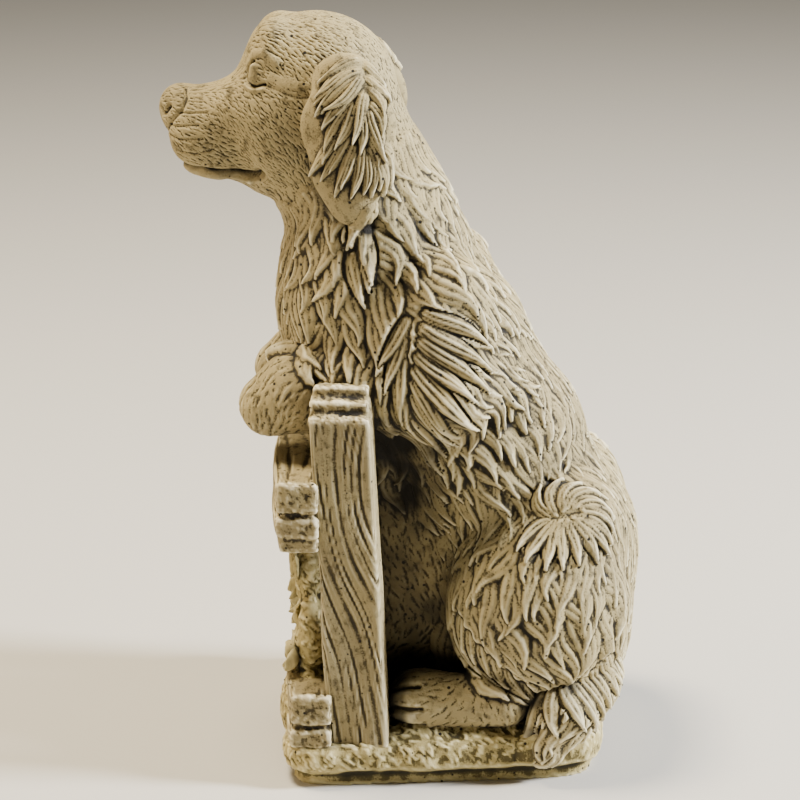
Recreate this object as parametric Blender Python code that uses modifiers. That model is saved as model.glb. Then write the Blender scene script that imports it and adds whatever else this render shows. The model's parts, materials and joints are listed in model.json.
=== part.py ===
"""A cast stone garden statue: a long-haired dog sits up with its forelegs over a rustic rail fence.

The statue is one casting. It faces -Y and stands on its underside at Z 0. The dog is modelled as
blended masses, its coat is laid on them lock by lock, and fence and base are joined to it.
"""

import math

import bmesh
import bpy
import numpy as np
from mathutils import Matrix, Vector, kdtree, noise

# Driving sizes, in metres
FIGURE_HEIGHT = 0.535  # from the grass to the crown of the head
BASE_THICKNESS = 0.036
BASE_LENGTH = 0.246
BASE_FRONT_WIDTH = 0.266
BASE_BACK_WIDTH = 0.196
BASE_MIDDLE_Y = 0.005
BASE_LUMP = 0.006
FOOT_HEIGHT = 0.011  # the plain foot under the grass slab
FOOT_INSET = 0.008
POST_WIDTH = 0.036
POST_DEPTH = 0.046
POST_HEIGHT = 0.272  # above the grass
POST_INSET = 0.033  # from the slab's side to a post's middle
POST_SPACING = BASE_FRONT_WIDTH - 2.0 * POST_INSET
POST_LEAN = math.radians(2.9)
FENCE_SET_BACK = 0.061  # from the slab's front to the middle of the posts' feet
POST_FOOT_Y = BASE_MIDDLE_Y - BASE_LENGTH / 2.0 + FENCE_SET_BACK
POST_BREAK = 0.016  # how far the broken top falls towards its outer side
RAIL_THICKNESS = 0.026
RAIL_DEPTH = 0.056
RAIL_OVERHANG = 0.006  # how far a rail's end stands past its post
UPPER_RAIL_HEIGHT = 0.178  # a rail's middle above the grass
LOWER_RAIL_HEIGHT = 0.010
RAIL_BREAK = 0.008
SINK = 0.004  # how far joined pieces run into each other
GROOVE_DEPTH = 0.0022  # in the weathered timber
TIMBER_SQUARENESS = 7.0
BASE_SQUARENESS = 9.0

# The rose against the fence. Its bank of leaves: across, above the grass, half width, half height, depth
BANK = (
    (0.056, 0.012, 0.048, 0.036, 0.022),
    (-0.034, 0.010, 0.050, 0.032, 0.020),
    (0.066, 0.064, 0.022, 0.036, 0.013),
    (0.056, 0.112, 0.014, 0.032, 0.012),
    (0.000, 0.044, 0.032, 0.030, 0.016),
    (-0.060, 0.062, 0.024, 0.046, 0.014),
)
# Its blooms and buds: across, above the grass, radius
BLOOMS = (
    (0.074, 0.052, 0.014),
    (0.050, 0.100, 0.010),
    (-0.006, 0.066, 0.017),
    (-0.054, 0.048, 0.013),
    (-0.060, 0.104, 0.011),
)
# Its leaves: across, above the grass, turn in degrees
LEAVES = (
    (0.038, 0.052, 30),
    (0.060, 0.078, -35),
    (0.060, 0.128, 60),
    (-0.038, 0.082, 40),
    (-0.078, 0.074, -50),
)
LEAF_LENGTH = 0.034
LEAF_WIDTH = 0.018
LEAF_THICKNESS = 0.010
BLOOM_STAND = 0.010  # how far a bloom or leaf stands in front of the rails' middle

# The figure keeps its proportions. Its tables are in 535ths of its height, with Z up from the grass,
# and a row with its centre off the middle plane is also made on the other side.
FIGURE_PARTS = 535
SHARE = FIGURE_HEIGHT / FIGURE_PARTS

# Rounded masses: centre, radii, lean back in degrees
TRUNK = (
    ((0, -57, 350), (60, 54, 59), 15),
    ((0, -50, 310), (70, 72, 72), 15),
    ((0, -4, 283), (74, 66, 64), 30),
    ((0, 43, 177), (70, 58, 85), 28),
    ((0, 77, 110), (84, 72, 89), 12),
    ((0, 78, 48), (78, 64, 61), 0),
    ((0, 24, 226), (71, 60, 62), 30),
    ((0, 8, 83), (46, 44, 104), 0),
    ((0, -34, 100), (46, 42, 124), 0),
    ((0, -64, 214), (56, 34, 52), 0),
)
HEAD = (
    ((0, -96, 477), (50, 60, 57), 0),
    ((17, -126, 508), (20, 16, 22), 0),
    ((30, -112, 451), (22, 38, 36), 0),
    ((20, -142, 465), (18, 26, 20), 0),
    ((13, -193, 440), (14, 22, 22), 0),
    ((16, -165, 439), (15, 28, 26), 0),
    ((0, -205, 466), (14, 8, 9), 0),
    ((29, -134, 493), (7, 8, 8), 0),
)
LIMBS = (
    ((52, -10, 300), (30, 42, 60), 20),
    ((66, 76, 93), (42, 66, 72), -8),
    ((48, 97, 147), (39, 41, 46), 0),
    ((80, -14, 20), (22, 24, 20), 0),
)
EARS = (
    ((52, -72, 490), (11, 22, 19), 0),
    ((59, -68, 459), (11, 34, 34), 0),
    ((62, -66, 427), (10, 28, 28), 0),
    ((60, -65, 403), (8, 16, 17), 0),
)
# Lines cut into the stone: points, width, depth, and each is also cut on the other side
CUT_LINES = (
    (((0, -200, 424), (14, -192, 424), (20, -170, 421), (24, -150, 424), (27, -141, 429)), 3.5, 4.5),
    (((26, -145, 484), (31, -137, 482), (35, -127, 486)), 3.0, 2.5),
    (((24, -144, 500), (29, -137, 504), (35, -126, 502)), 3.0, 2.5),
    (((66, -38, 22), (68, -10, 38)), 3.5, 3.5),
    (((82, -40, 16), (84, -8, 38)), 3.5, 3.5),
    (((95, -34, 12), (98, -8, 26)), 3.5, 3.5),
    (((43, -150, 225), (43, -153, 242), (44, -138, 262)), 3.5, 3.5),
    (((57, -150, 225), (57, -153, 242), (56, -138, 262)), 3.5, 3.5),
)
# Tapered masses: start, end, start radius, end radius
NECK = (
    ((0, -76, 424), (0, -60, 371), 45, 43),
    ((0, -65, 444), (0, -31, 358), 37, 43),
)
JAWS = (
    ((0, -148, 460), (0, -193, 460), 26, 17),
    ((0, -140, 422), (0, -182, 425), 22, 11),
    ((0, -111, 426), (0, -83, 408), 38, 43),
)
LEGS = (
    ((58, 8, 258), (54, -60, 262), 31, 25),
    ((54, -60, 262), (50, -108, 258), 24, 24),
    ((50, -108, 258), (50, -128, 244), 25, 23),
    ((84, 52, 22), (82, -8, 20), 20, 22),
)
TAIL = (
    ((4, 116, 38), (58, 110, 34), 23, 25),
    ((58, 110, 34), (86, 96, 16), 25, 20),
    ((86, 96, 16), (97, 84, -8), 20, 12),
)
# How softly the masses of a group run into each other
TRUNK_BLEND = 30
HEAD_BLEND = 14
LIMB_BLEND = 14
EAR_BLEND = 12
EAR_EDGE = 4

# How the coat is combed: a place, the way the hair runs there, and the locks' length, width and height
COAT = (
    ((0, -35, 505), (0, 0.6, -0.8), 22, 8, 1.0),
    ((34, -20, 445), (0, 0.5, -0.9), 34, 10, 2.5),
    ((0, 8, 395), (0, 0.4, -0.9), 40, 11, 3.0),
    ((0, -126, 385), (0, 0.1, -1.0), 34, 12, 3.5),
    ((48, -70, 385), (0, 0.3, -1.0), 44, 14, 5.0),
    ((58, -30, 372), (0, 0.6, -0.9), 48, 14, 5.0),
    ((0, -124, 330), (0, 0.0, -1.0), 46, 14, 5.0),
    ((58, -90, 335), (0, -0.1, -1.0), 50, 15, 6.0),
    ((70, -50, 330), (0, 0.2, -1.0), 50, 15, 6.0),
    ((56, -85, 290), (0, -0.1, -1.0), 44, 14, 5.0),
    ((80, -20, 285), (0, -0.3, -1.0), 56, 13, 4.5),
    ((80, -2, 320), (0, 0.6, -0.9), 50, 13, 5.5),
    ((80, 2, 270), (0, 0.8, -0.6), 50, 12, 5.5),
    ((82, 22, 292), (0, 0.9, -0.5), 50, 12, 5.5),
    ((78, 42, 275), (0, 1.0, -0.1), 40, 11, 4.5),
    ((60, 40, 330), (0, 0.5, -0.9), 46, 12, 3.5),
    ((30, 60, 300), (0, 0.5, -0.9), 54, 10, 2.5),
    ((0, 90, 255), (0, 0.5, -0.9), 56, 10, 2.5),
    ((66, 60, 230), (0, 0.3, -1.0), 54, 11, 3.0),
    ((72, 20, 215), (0, 0.5, -0.9), 50, 12, 4.0),
    ((56, 100, 205), (0, 0.3, -1.0), 46, 11, 3.0),
    ((0, 150, 140), (0, 0.1, -1.0), 50, 12, 3.5),
    ((84, 40, 130), (0, -0.3, -1.0), 54, 13, 5.0),
    ((96, 80, 100), (0, 0.1, -1.0), 56, 13, 5.5),
    ((70, 125, 90), (0, 0.0, -1.0), 54, 13, 5.0),
    ((90, 30, 70), (0, 0.5, -0.9), 46, 13, 5.5),
    ((96, 70, 50), (0, 0.6, -0.8), 44, 13, 5.5),
    ((60, 140, 40), (0, -0.3, -1.0), 46, 13, 5.0),
    ((92, 104, 20), (0, -0.5, -0.9), 46, 13, 5.0),
    ((56, 0, 150), (0, 0.3, -1.0), 26, 10, 1.5),
)
# Locks combed out from a line of roots, in the side view with angles from the back towards up:
# first root, last root, first and last angle, first and last bend, count, length, width, height
FANS = (
    ((82, -8, 332), (80, -18, 258), -25, -78, -30, 62, 9, 56, 13, 7.5),
    ((82, -14, 326), (78, -24, 256), 232, 262, 10, 60, 6, 56, 14, 6.0),
    ((92, 88, 176), (92, 106, 184), 150, 20, -50, -70, 8, 34, 11, 5.5),
    ((92, 106, 180), (92, 86, 174), -20, -160, -30, 45, 9, 36, 12, 5.5),
    ((66, -58, 500), (66, -50, 440), 215, 236, 25, -25, 6, 44, 11, 4.0),
    ((66, -56, 496), (66, -48, 436), -40, -62, -25, -25, 5, 40, 11, 4.0),
    ((66, -58, 446), (66, -52, 440), 205, 300, 20, -10, 7, 36, 10, 4.5),
    ((90, 132, 66), (90, 86, 36), 288, 246, 25, 40, 9, 44, 13, 6.5),
    ((90, 20, 96), (90, 66, 52), 238, 262, 40, 60, 6, 46, 13, 6.0),
    ((74, -66, 372), (70, -30, 398), 262, 285, 30, -20, 6, 46, 14, 6.0),
)
# Where the coat is short: centre, radii
SHORT_COAT = (
    ((0, -135, 468), (64, 84, 62)),
    ((0, -40, 505), (50, 60, 40)),
    ((50, -112, 250), (40, 50, 40)),
    ((82, 14, 20), (40, 66, 30)),
    ((0, -40, 110), (66, 80, 130)),
)
LOCK_SCALE = 1.25
LOCK_RELIEF = 1.35
LOCK_STEPS = 8
LOCK_WAVE = 0.55
LOCK_TURNS = 0.9  # waves along one lock
ROOT_SPREAD = 0.564  # between roots, as a share of a lock's mean size
COMB_SOFTNESS = 60.0  # how softly one guide's combing gives way to the next
FAN_CURL = 1.6
FAN_SCATTER = 4.0  # in degrees

# Working detail, in the figure's parts
SKIN_VOXEL = 3.2
SKIN_STEPS = 5
STATUE_FACETS = 9700
SEED = 7
TIMBER_SIDES = 36
TIMBER_LEVELS = 15
BASE_SIDES = 72
CAST_VOXEL = 0.002  # in metres


def clear_scene():
    for thing in list(bpy.data.objects):
        bpy.data.objects.remove(thing)


def stone_material():
    material = bpy.data.materials.new("cast_stone")
    material.use_nodes = True
    shader = material.node_tree.nodes["Principled BSDF"]
    shader.inputs["Base Color"].default_value = (0.44, 0.39, 0.27, 1.0)
    shader.inputs["Roughness"].default_value = 0.9
    shader.inputs["Metallic"].default_value = 0.0
    return material


# The figure's skin as a distance from its masses


def smooth_union(first, second, blend):
    overlap = np.maximum(blend - np.abs(first - second), 0.0) / blend
    return np.minimum(first, second) - overlap * overlap * blend * 0.25


def rounded_distance(points, mass):
    centre, radii, lean = mass
    offset = points - np.array(centre)
    turn = math.radians(lean)
    along = offset[:, 1] * math.cos(turn) - offset[:, 2] * math.sin(turn)
    above = offset[:, 1] * math.sin(turn) + offset[:, 2] * math.cos(turn)
    scaled = np.stack([offset[:, 0], along, above], axis=1) / np.array(radii)
    reach = np.linalg.norm(scaled, axis=1)
    slope = np.linalg.norm(scaled / np.array(radii), axis=1)
    return reach * (reach - 1.0) / np.maximum(slope, 1e-6)


def tapered_distance(points, mass):
    start, end, start_radius, end_radius = mass
    axis = np.array(end, float) - np.array(start, float)
    share = np.clip((points - np.array(start)) @ axis / (axis @ axis), 0.0, 1.0)
    nearest = np.array(start) + share[:, None] * axis
    return np.linalg.norm(points - nearest, axis=1) - (start_radius + (end_radius - start_radius) * share)


def group_distance(points, rounded, tapered, blend):
    fields = [rounded_distance(points, mass) for mass in rounded]
    fields += [tapered_distance(points, mass) for mass in tapered]
    total = fields[0]
    for field in fields[1:]:
        total = smooth_union(total, field, blend)
    return total


def skin_distance(points):
    folded = points.copy()
    folded[:, 0] = np.abs(folded[:, 0])
    trunk = group_distance(folded, TRUNK, NECK, TRUNK_BLEND)
    limbs = group_distance(folded, LIMBS, LEGS, LIMB_BLEND)
    head = group_distance(folded, HEAD, JAWS, HEAD_BLEND)
    ears = group_distance(folded, EARS, (), EAR_BLEND)
    tail = group_distance(points, (), TAIL, LIMB_BLEND)
    body = smooth_union(smooth_union(trunk, limbs, LIMB_BLEND), head, HEAD_BLEND)
    return smooth_union(smooth_union(body, tail, EAR_EDGE), ears, EAR_EDGE)


def skin_normals(points, step=0.5):
    corners = np.array([[1, -1, -1], [-1, -1, 1], [-1, 1, -1], [1, 1, 1]], float)
    slope = sum(corner * skin_distance(points + step * corner)[:, None] for corner in corners)
    return slope / np.maximum(np.linalg.norm(slope, axis=1, keepdims=True), 1e-9)


def drop_to_skin(points, passes=2):
    for _ in range(passes):
        points = points - skin_distance(points)[:, None].clip(-6, 6) * skin_normals(points)
    return points


# The skin as a mesh


def unit_ball():
    shape = bmesh.new()
    bmesh.ops.create_uvsphere(shape, u_segments=28, v_segments=18, radius=1.0)
    mesh = bpy.data.meshes.new("ball")
    shape.to_mesh(mesh)
    shape.free()
    return mesh


def add_ball(shape, ball, centre, radii, lean):
    turn = Matrix.Rotation(math.radians(-lean), 4, "X")
    mesh = ball.copy()
    mesh.transform(Matrix.Translation(centre) @ turn @ Matrix.Diagonal((*radii, 1.0)))
    shape.from_mesh(mesh)
    bpy.data.meshes.remove(mesh)


def add_rounded(shape, ball, mass):
    centre, radii, lean = mass
    for side in (1, -1) if centre[0] else (1,):
        add_ball(shape, ball, (side * centre[0], centre[1], centre[2]), radii, lean)


def add_tapered(shape, ball, mass, sides=(1, -1)):
    start, end, start_radius, end_radius = mass
    start, end = Vector(start), Vector(end)
    count = max(2, int((end - start).length / 10) + 1)
    for side in sides if start.x or end.x else (1,):
        for share in np.linspace(0.0, 1.0, count):
            centre = start.lerp(end, share)
            radius = start_radius + (end_radius - start_radius) * share
            add_ball(shape, ball, (side * centre.x, centre.y, centre.z), (radius,) * 3, 0)


def vertex_places(mesh):
    flat = np.empty(len(mesh.vertices) * 3, np.float32)
    mesh.vertices.foreach_get("co", flat)
    return flat.reshape(-1, 3).astype(float)


def set_vertex_places(mesh, places):
    mesh.vertices.foreach_set("co", places.astype(np.float32).ravel())
    mesh.update()


def settle_on_skin(mesh, passes):
    places = vertex_places(mesh)
    ends = np.empty(len(mesh.edges) * 2, np.int32)
    mesh.edges.foreach_get("vertices", ends)
    first, second = ends[0::2], ends[1::2]
    count = len(places)
    neighbours = np.bincount(ends, minlength=count)[:, None]
    for _ in range(passes):
        around = np.stack(
            [
                np.bincount(first, places[second, axis], count)
                + np.bincount(second, places[first, axis], count)
                for axis in range(3)
            ],
            axis=1,
        )
        places = drop_to_skin((places + around / neighbours) / 2.0)
    set_vertex_places(mesh, places)


def apply_modifiers(thing):
    graph = bpy.context.evaluated_depsgraph_get()
    mesh = bpy.data.meshes.new_from_object(thing.evaluated_get(graph))
    thing.modifiers.clear()
    thing.data = mesh


def make_skin():
    shape = bmesh.new()
    ball = unit_ball()
    for mass in TRUNK + HEAD + LIMBS + EARS:
        add_rounded(shape, ball, mass)
    for mass in NECK + JAWS + LEGS:
        add_tapered(shape, ball, mass)
    for mass in TAIL:
        add_tapered(shape, ball, mass, sides=(1,))
    mesh = bpy.data.meshes.new("figure")
    shape.to_mesh(mesh)
    shape.free()
    figure = bpy.data.objects.new("figure", mesh)
    bpy.context.scene.collection.objects.link(figure)
    remesh = figure.modifiers.new("remesh", "REMESH")
    remesh.mode = "VOXEL"
    remesh.voxel_size = SKIN_VOXEL
    apply_modifiers(figure)
    settle_on_skin(figure.data, SKIN_STEPS)
    return figure


# The coat, laid lock by lock


def mirrored(place, way):
    sides = (1, -1) if place[0] else (1,)
    return [((side * place[0], place[1], place[2]), (side * way[0], way[1], way[2])) for side in sides]


def coat_rows():
    rows = []
    for place, way, length, width, height in COAT:
        for spot, run in mirrored(place, way):
            rows.append((*spot, *run, length, width, height))
    return np.array(rows) * np.array([1.0] * 6 + [LOCK_SCALE, LOCK_SCALE, LOCK_RELIEF])


def comb(points, rows):
    """The way the hair runs at each point, not yet laid flat, and the locks' length, width and height."""
    apart = ((points[:, None, :] - rows[None, :, :3]) ** 2).sum(axis=2)
    weights = 1.0 / (apart + COMB_SOFTNESS) ** 2
    weights /= weights.sum(axis=1, keepdims=True)
    way = weights @ rows[:, 3:6]
    size = weights @ rows[:, 6:9]
    return way, size


def lay_flat(way, normals):
    way = way - (way * normals).sum(axis=1, keepdims=True) * normals
    return way / np.maximum(np.linalg.norm(way, axis=1, keepdims=True), 1e-9)


def long_coat(points):
    """1 where the coat is long, falling to 0 where it is short."""
    share = np.ones(len(points))
    folded = points.copy()
    folded[:, 0] = np.abs(folded[:, 0])
    for centre, radii in SHORT_COAT:
        reach = np.linalg.norm((folded - np.array(centre)) / np.array(radii), axis=1)
        share = np.minimum(share, np.clip((reach - 1.0) * 5.0, 0.0, 1.0))
    return share


def pick_roots(points, sizes, rng):
    """Roots spread evenly, as far apart as the locks' size asks."""
    spread = ROOT_SPREAD * np.sqrt(sizes[:, 0] * sizes[:, 1])
    cell = spread.min()
    taken = {}
    roots = []
    for index in rng.permutation(len(points)):
        place = points[index]
        gap = spread[index]
        key = tuple((place // cell).astype(int))
        span = int(gap // cell) + 1
        near = (
            root
            for x in range(key[0] - span, key[0] + span + 1)
            for y in range(key[1] - span, key[1] + span + 1)
            for z in range(key[2] - span, key[2] + span + 1)
            for root in taken.get((x, y, z), ())
        )
        if all(((points[root] - place) ** 2).sum() > gap * gap for root in near):
            taken.setdefault(key, []).append(index)
            roots.append(index)
    return np.array(roots)


def follow(roots, lengths, steer):
    """Middle lines of locks, each laid on the skin step by step the way that steer gives."""
    lines = [drop_to_skin(roots)]
    lift = [skin_normals(lines[0])]
    for step in range(LOCK_STEPS):
        way = lay_flat(steer(lines[-1], lift[-1], step / LOCK_STEPS), lift[-1])
        lines.append(drop_to_skin(lines[-1] + way * lengths[:, None] / LOCK_STEPS, passes=1))
        lift.append(skin_normals(lines[-1]))
    return np.stack(lines, axis=1), np.stack(lift, axis=1)


def loose_locks(points, rng):
    """The coat at large, which follows the combing with a wave in each lock."""
    rows = coat_rows()
    _, sizes = comb(points, rows)
    roots = pick_roots(points, sizes, rng)
    count = len(roots)
    phase = rng.uniform(-0.6, 0.6, count) + points[roots, 2] * 0.05
    wave = LOCK_WAVE * rng.uniform(0.5, 1.3, count)
    lean = rng.normal(0.0, 0.16, count)

    def steer(place, normals, share):
        way = lay_flat(comb(place, rows)[0], normals)
        turn = lean + wave * np.sin(2.0 * math.pi * LOCK_TURNS * share + phase)
        return way * np.cos(turn)[:, None] + np.cross(normals, way) * np.sin(turn)[:, None]

    sizes = sizes[roots] * rng.uniform(0.85, 1.15, (count, 1))
    lines, lift = follow(points[roots], sizes[:, 0], steer)
    return lines, lift, sizes


def fanned_locks(rng):
    """The locks that spring from a line of roots, on both sides."""
    rows = []
    for first, last, angle_in, angle_out, bend_in, bend_out, count, length, width, height in FANS:
        for side in (1, -1):
            for share in np.linspace(0.0, 1.0, count):
                root = np.array(first) * (1.0 - share) + np.array(last) * share
                angle = angle_in * (1.0 - share) + angle_out * share
                bend = bend_in * (1.0 - share) + bend_out * share
                rows.append((side * root[0], root[1], root[2], angle, bend, length, width, height))
    rows = np.array(rows)
    angles = np.radians(rows[:, 3] + rng.normal(0.0, FAN_SCATTER, len(rows)))
    bends = np.radians(rows[:, 4])

    def steer(place, normals, share):
        turn = angles + bends * share * FAN_CURL
        return np.stack([np.zeros(len(turn)), np.cos(turn), np.sin(turn)], axis=1)

    sizes = rows[:, 5:8] * rng.uniform(0.9, 1.1, (len(rows), 1))
    lines, lift = follow(rows[:, :3], sizes[:, 0], steer)
    return lines, lift, sizes


def lock_outline(share):
    """Half width along a lock, full at its middle and drawn to a point at its tip."""
    return (0.65 + 0.35 * np.sin(math.pi * np.minimum(share * 1.2, 1.0))) * (1.0 - share ** 4) ** 0.8


def lay_locks(points, normals, lines, lift, sizes):
    """How far the coat stands over each point: the highest lock there counts."""
    tree = kdtree.KDTree(len(points))
    for index, place in enumerate(points):
        tree.insert(place, index)
    tree.balance()
    coat = np.zeros(len(points))
    for line, up, (length, width, height) in zip(lines, lift, sizes):
        middle = line[len(line) // 2]
        reach = np.linalg.norm(line - middle, axis=1).max() + width / 2.0
        near = np.array([index for _, index, _ in tree.find_range(middle, reach)])
        if not len(near):
            continue
        spots = points[near]
        axis = line[1:] - line[:-1]
        offset = spots[:, None, :] - line[None, :-1, :]
        share = np.clip((offset * axis).sum(axis=2) / (axis ** 2).sum(axis=1), 0.0, 1.0)
        apart = offset - share[:, :, None] * axis
        distance = np.linalg.norm(apart, axis=2)
        best = distance.argmin(axis=1)
        each = np.arange(len(near))
        along = (best + share[each, best]) / len(axis)
        aside = np.cross(up[best], axis[best])
        side = np.sign((aside * apart[each, best]).sum(axis=1))
        across = side * distance[each, best] / np.maximum(width / 2.0 * lock_outline(along), 1e-6)
        facing = (normals[near] * up[best]).sum(axis=1) > 0.2
        inside = (np.abs(across) < 1.0) & facing
        dome = np.sqrt(np.clip(1.0 - across ** 2, 0.0, 1.0))
        rise = height * (0.25 + 0.75 * np.clip(along / 0.8, 0.0, 1.0))
        stand = np.where(inside, rise * dome, 0.0)
        coat[near] = np.maximum(coat[near], stand)
    return coat


def distance_to_line(points, line):
    nearest = np.full(len(points), np.inf)
    for start, end in zip(line[:-1], line[1:]):
        axis = np.array(end, float) - np.array(start, float)
        share = np.clip((points - np.array(start)) @ axis / (axis @ axis), 0.0, 1.0)
        apart = np.linalg.norm(points - np.array(start) - share[:, None] * axis, axis=1)
        nearest = np.minimum(nearest, apart)
    return nearest


def cut_depth(points):
    folded = points.copy()
    folded[:, 0] = np.abs(folded[:, 0])
    depth = np.zeros(len(points))
    for line, width, deepest in CUT_LINES:
        depth = np.maximum(depth, deepest * np.exp(-((distance_to_line(folded, line) / width) ** 2)))
    return depth


def carve_coat(figure):
    rng = np.random.default_rng(SEED)
    mesh = figure.data
    points = vertex_places(mesh)
    normals = skin_normals(points)
    haired = points[long_coat(points) > 0.15]
    coat = np.zeros(len(points))
    for lines, lift, sizes in (loose_locks(haired, rng), fanned_locks(rng)):
        coat = np.maximum(coat, lay_locks(points, normals, lines, lift, sizes))
    set_vertex_places(mesh, points + normals * (coat - cut_depth(points))[:, None])


def make_figure():
    figure = make_skin()
    carve_coat(figure)
    grass = Matrix.Translation((0.0, 0.0, BASE_THICKNESS))
    figure.data.transform(grass @ Matrix.Scale(SHARE, 4))
    return figure


# The fence, split and weathered timber


def rounded_square(turn, half_width, half_depth, squareness):
    """A point of a square outline whose corners are rounder the smaller the squareness."""
    across, along = math.cos(turn), math.sin(turn)
    reach = (abs(across) ** squareness + abs(along) ** squareness) ** (1.0 / squareness)
    return half_width * across / reach, half_depth * along / reach


def make_timber(name, length, width, depth, break_drop, place):
    """A rough timber along Z from its foot, with grain grooves and a broken top that drops across +X."""
    shape = bmesh.new()
    bmesh.ops.create_cone(
        shape, cap_ends=True, segments=TIMBER_SIDES, radius1=1.0, radius2=1.0, depth=1.0,
        matrix=Matrix.Translation((0.0, 0.0, 0.5)),
    )
    shape.edges.ensure_lookup_table()
    uprights = [edge for edge in shape.edges if abs(edge.verts[0].co.z - edge.verts[1].co.z) > 0.5]
    bmesh.ops.subdivide_edges(shape, edges=uprights, cuts=TIMBER_LEVELS)
    for cap in [face for face in shape.faces if abs(face.normal.z) > 0.9]:
        bmesh.ops.inset_individual(shape, faces=[cap], thickness=0.4)
    for vertex in shape.verts:
        turn = math.atan2(vertex.co.y, vertex.co.x)
        height = vertex.co.z
        inside = math.hypot(vertex.co.x, vertex.co.y)
        x, y = rounded_square(turn, width / 2.0, depth / 2.0, TIMBER_SQUARENESS)
        grain = math.cos(turn * TIMBER_SIDES / 2.0) * 0.5 + 0.5
        bend = noise.noise(Vector((turn * 2.0, height * 5.0, length * 9.0)))
        groove = GROOVE_DEPTH * (grain * 1.2 + bend)
        shrink = 1.0 - groove / (min(width, depth) / 2.0)
        z = height * length
        for end in (0.0, 1.0):
            if abs(height - end) < 1e-4:
                step = round((x / width + 0.5) * 2.0) / 2.0
                ragged = noise.noise(Vector((x * 90.0, y * 90.0, end + length * 7.0)))
                z += (1.0 if end == 0.0 else -1.0) * break_drop * (step * end + 0.25 * ragged)
        vertex.co = Vector((x * shrink * inside, y * shrink * inside, z))
    mesh = bpy.data.meshes.new(name)
    shape.to_mesh(mesh)
    shape.free()
    mesh.transform(place)
    timber = bpy.data.objects.new(name, mesh)
    bpy.context.scene.collection.objects.link(timber)
    return timber


def make_fence():
    pieces = []
    for side in (1, -1):
        outwards = Matrix.Diagonal((side, 1.0, 1.0, 1.0))
        foot = Matrix.Translation((POST_SPACING / 2.0, POST_FOOT_Y, BASE_THICKNESS - SINK))
        lean = Matrix.Rotation(POST_LEAN, 4, "X")
        post = make_timber("post", POST_HEIGHT + SINK, POST_WIDTH, POST_DEPTH, POST_BREAK, foot @ lean)
        post.data.transform(outwards)
        if side < 0:
            post.data.flip_normals()
        pieces.append(post)
    span = POST_SPACING + POST_WIDTH + 2.0 * RAIL_OVERHANG
    for height in (UPPER_RAIL_HEIGHT, LOWER_RAIL_HEIGHT):
        middle = fence_front(height) - RAIL_THICKNESS / 2.0 + SINK
        along = Matrix.Rotation(math.radians(90.0), 4, "Y")
        place = Matrix.Translation((-span / 2.0, middle, BASE_THICKNESS + height))
        pieces.append(make_timber("rail", span, RAIL_DEPTH, RAIL_THICKNESS, RAIL_BREAK, place @ along))
    return pieces


# The grassy base


def base_outline(turn, inset):
    across, along = rounded_square(turn, 1.0, 1.0, BASE_SQUARENESS)
    toward_back = (along + 1.0) / 2.0
    half_width = (BASE_FRONT_WIDTH * (1.0 - toward_back) + BASE_BACK_WIDTH * toward_back) / 2.0
    return Vector((across * (half_width - inset), along * (BASE_LENGTH / 2.0 - inset) + BASE_MIDDLE_Y, 0.0))


def make_base():
    """Rings from the underside up the edge and over the top, the slab's own lumps growing with height."""
    rings = (
        (0.0, FOOT_INSET, 0.0),
        (FOOT_HEIGHT, FOOT_INSET, 0.0),
        (FOOT_HEIGHT + 0.002, 0.001, 0.5),
        (BASE_THICKNESS * 0.62, -0.002, 1.0),
        (BASE_THICKNESS - 0.004, 0.004, 1.0),
        (BASE_THICKNESS, 0.016, 0.8),
        (BASE_THICKNESS + 0.001, 0.034, 0.8),
        (BASE_THICKNESS, 0.062, 0.5),
    )
    shape = bmesh.new()
    bmesh.ops.create_circle(shape, cap_ends=False, segments=BASE_SIDES, radius=1.0)
    shape.verts.ensure_lookup_table()
    ring = list(shape.verts)
    turns = [math.atan2(vertex.co.y, vertex.co.x) for vertex in ring]
    edges = list(shape.edges)
    loops = [ring]
    for _ in rings[1:]:
        made = bmesh.ops.extrude_edge_only(shape, edges=edges)["geom"]
        edges = [part for part in made if isinstance(part, bmesh.types.BMEdge) and not part.is_manifold]
        edges = [edge for edge in edges if all(vertex in made for vertex in edge.verts)]
        loops.append([vertex for vertex in made if isinstance(vertex, bmesh.types.BMVert)])
    for (height, inset, rough), loop in zip(rings, loops):
        for vertex in loop:
            turn = math.atan2(vertex.co.y, vertex.co.x)
            bump = noise.noise(Vector((math.cos(turn) * 5.0, math.sin(turn) * 5.0, height * 60.0)))
            spot = base_outline(turn, inset + BASE_LUMP * rough * bump)
            lift = noise.noise(Vector((spot.x * 40.0, spot.y * 40.0, height * 30.0)))
            spot.z = height + BASE_LUMP * rough * lift * 0.7
            vertex.co = spot
    bmesh.ops.holes_fill(shape, edges=[edge for edge in shape.edges if edge.is_boundary])
    bmesh.ops.recalc_face_normals(shape, faces=list(shape.faces))
    mesh = bpy.data.meshes.new("base")
    shape.to_mesh(mesh)
    shape.free()
    base = bpy.data.objects.new("base", mesh)
    bpy.context.scene.collection.objects.link(base)
    return base


# The rose that climbs the front of the fence


def make_lump(place, radii, turn, rounds=1):
    bpy.ops.mesh.primitive_ico_sphere_add(subdivisions=rounds, radius=1.0)
    lump = bpy.context.object
    spot = Matrix.Translation(place) @ Matrix.Rotation(math.radians(turn), 4, "Y")
    lump.data.transform(spot @ Matrix.Diagonal((*radii, 1.0)))
    return lump


def fence_front(above):
    """The front of the posts at a height above the grass."""
    return POST_FOOT_Y - above * math.sin(POST_LEAN) - POST_DEPTH / 2.0


def rose_spot(x, above, stand):
    return (x, fence_front(above) - RAIL_THICKNESS / 2.0 - stand, BASE_THICKNESS + above)


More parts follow.
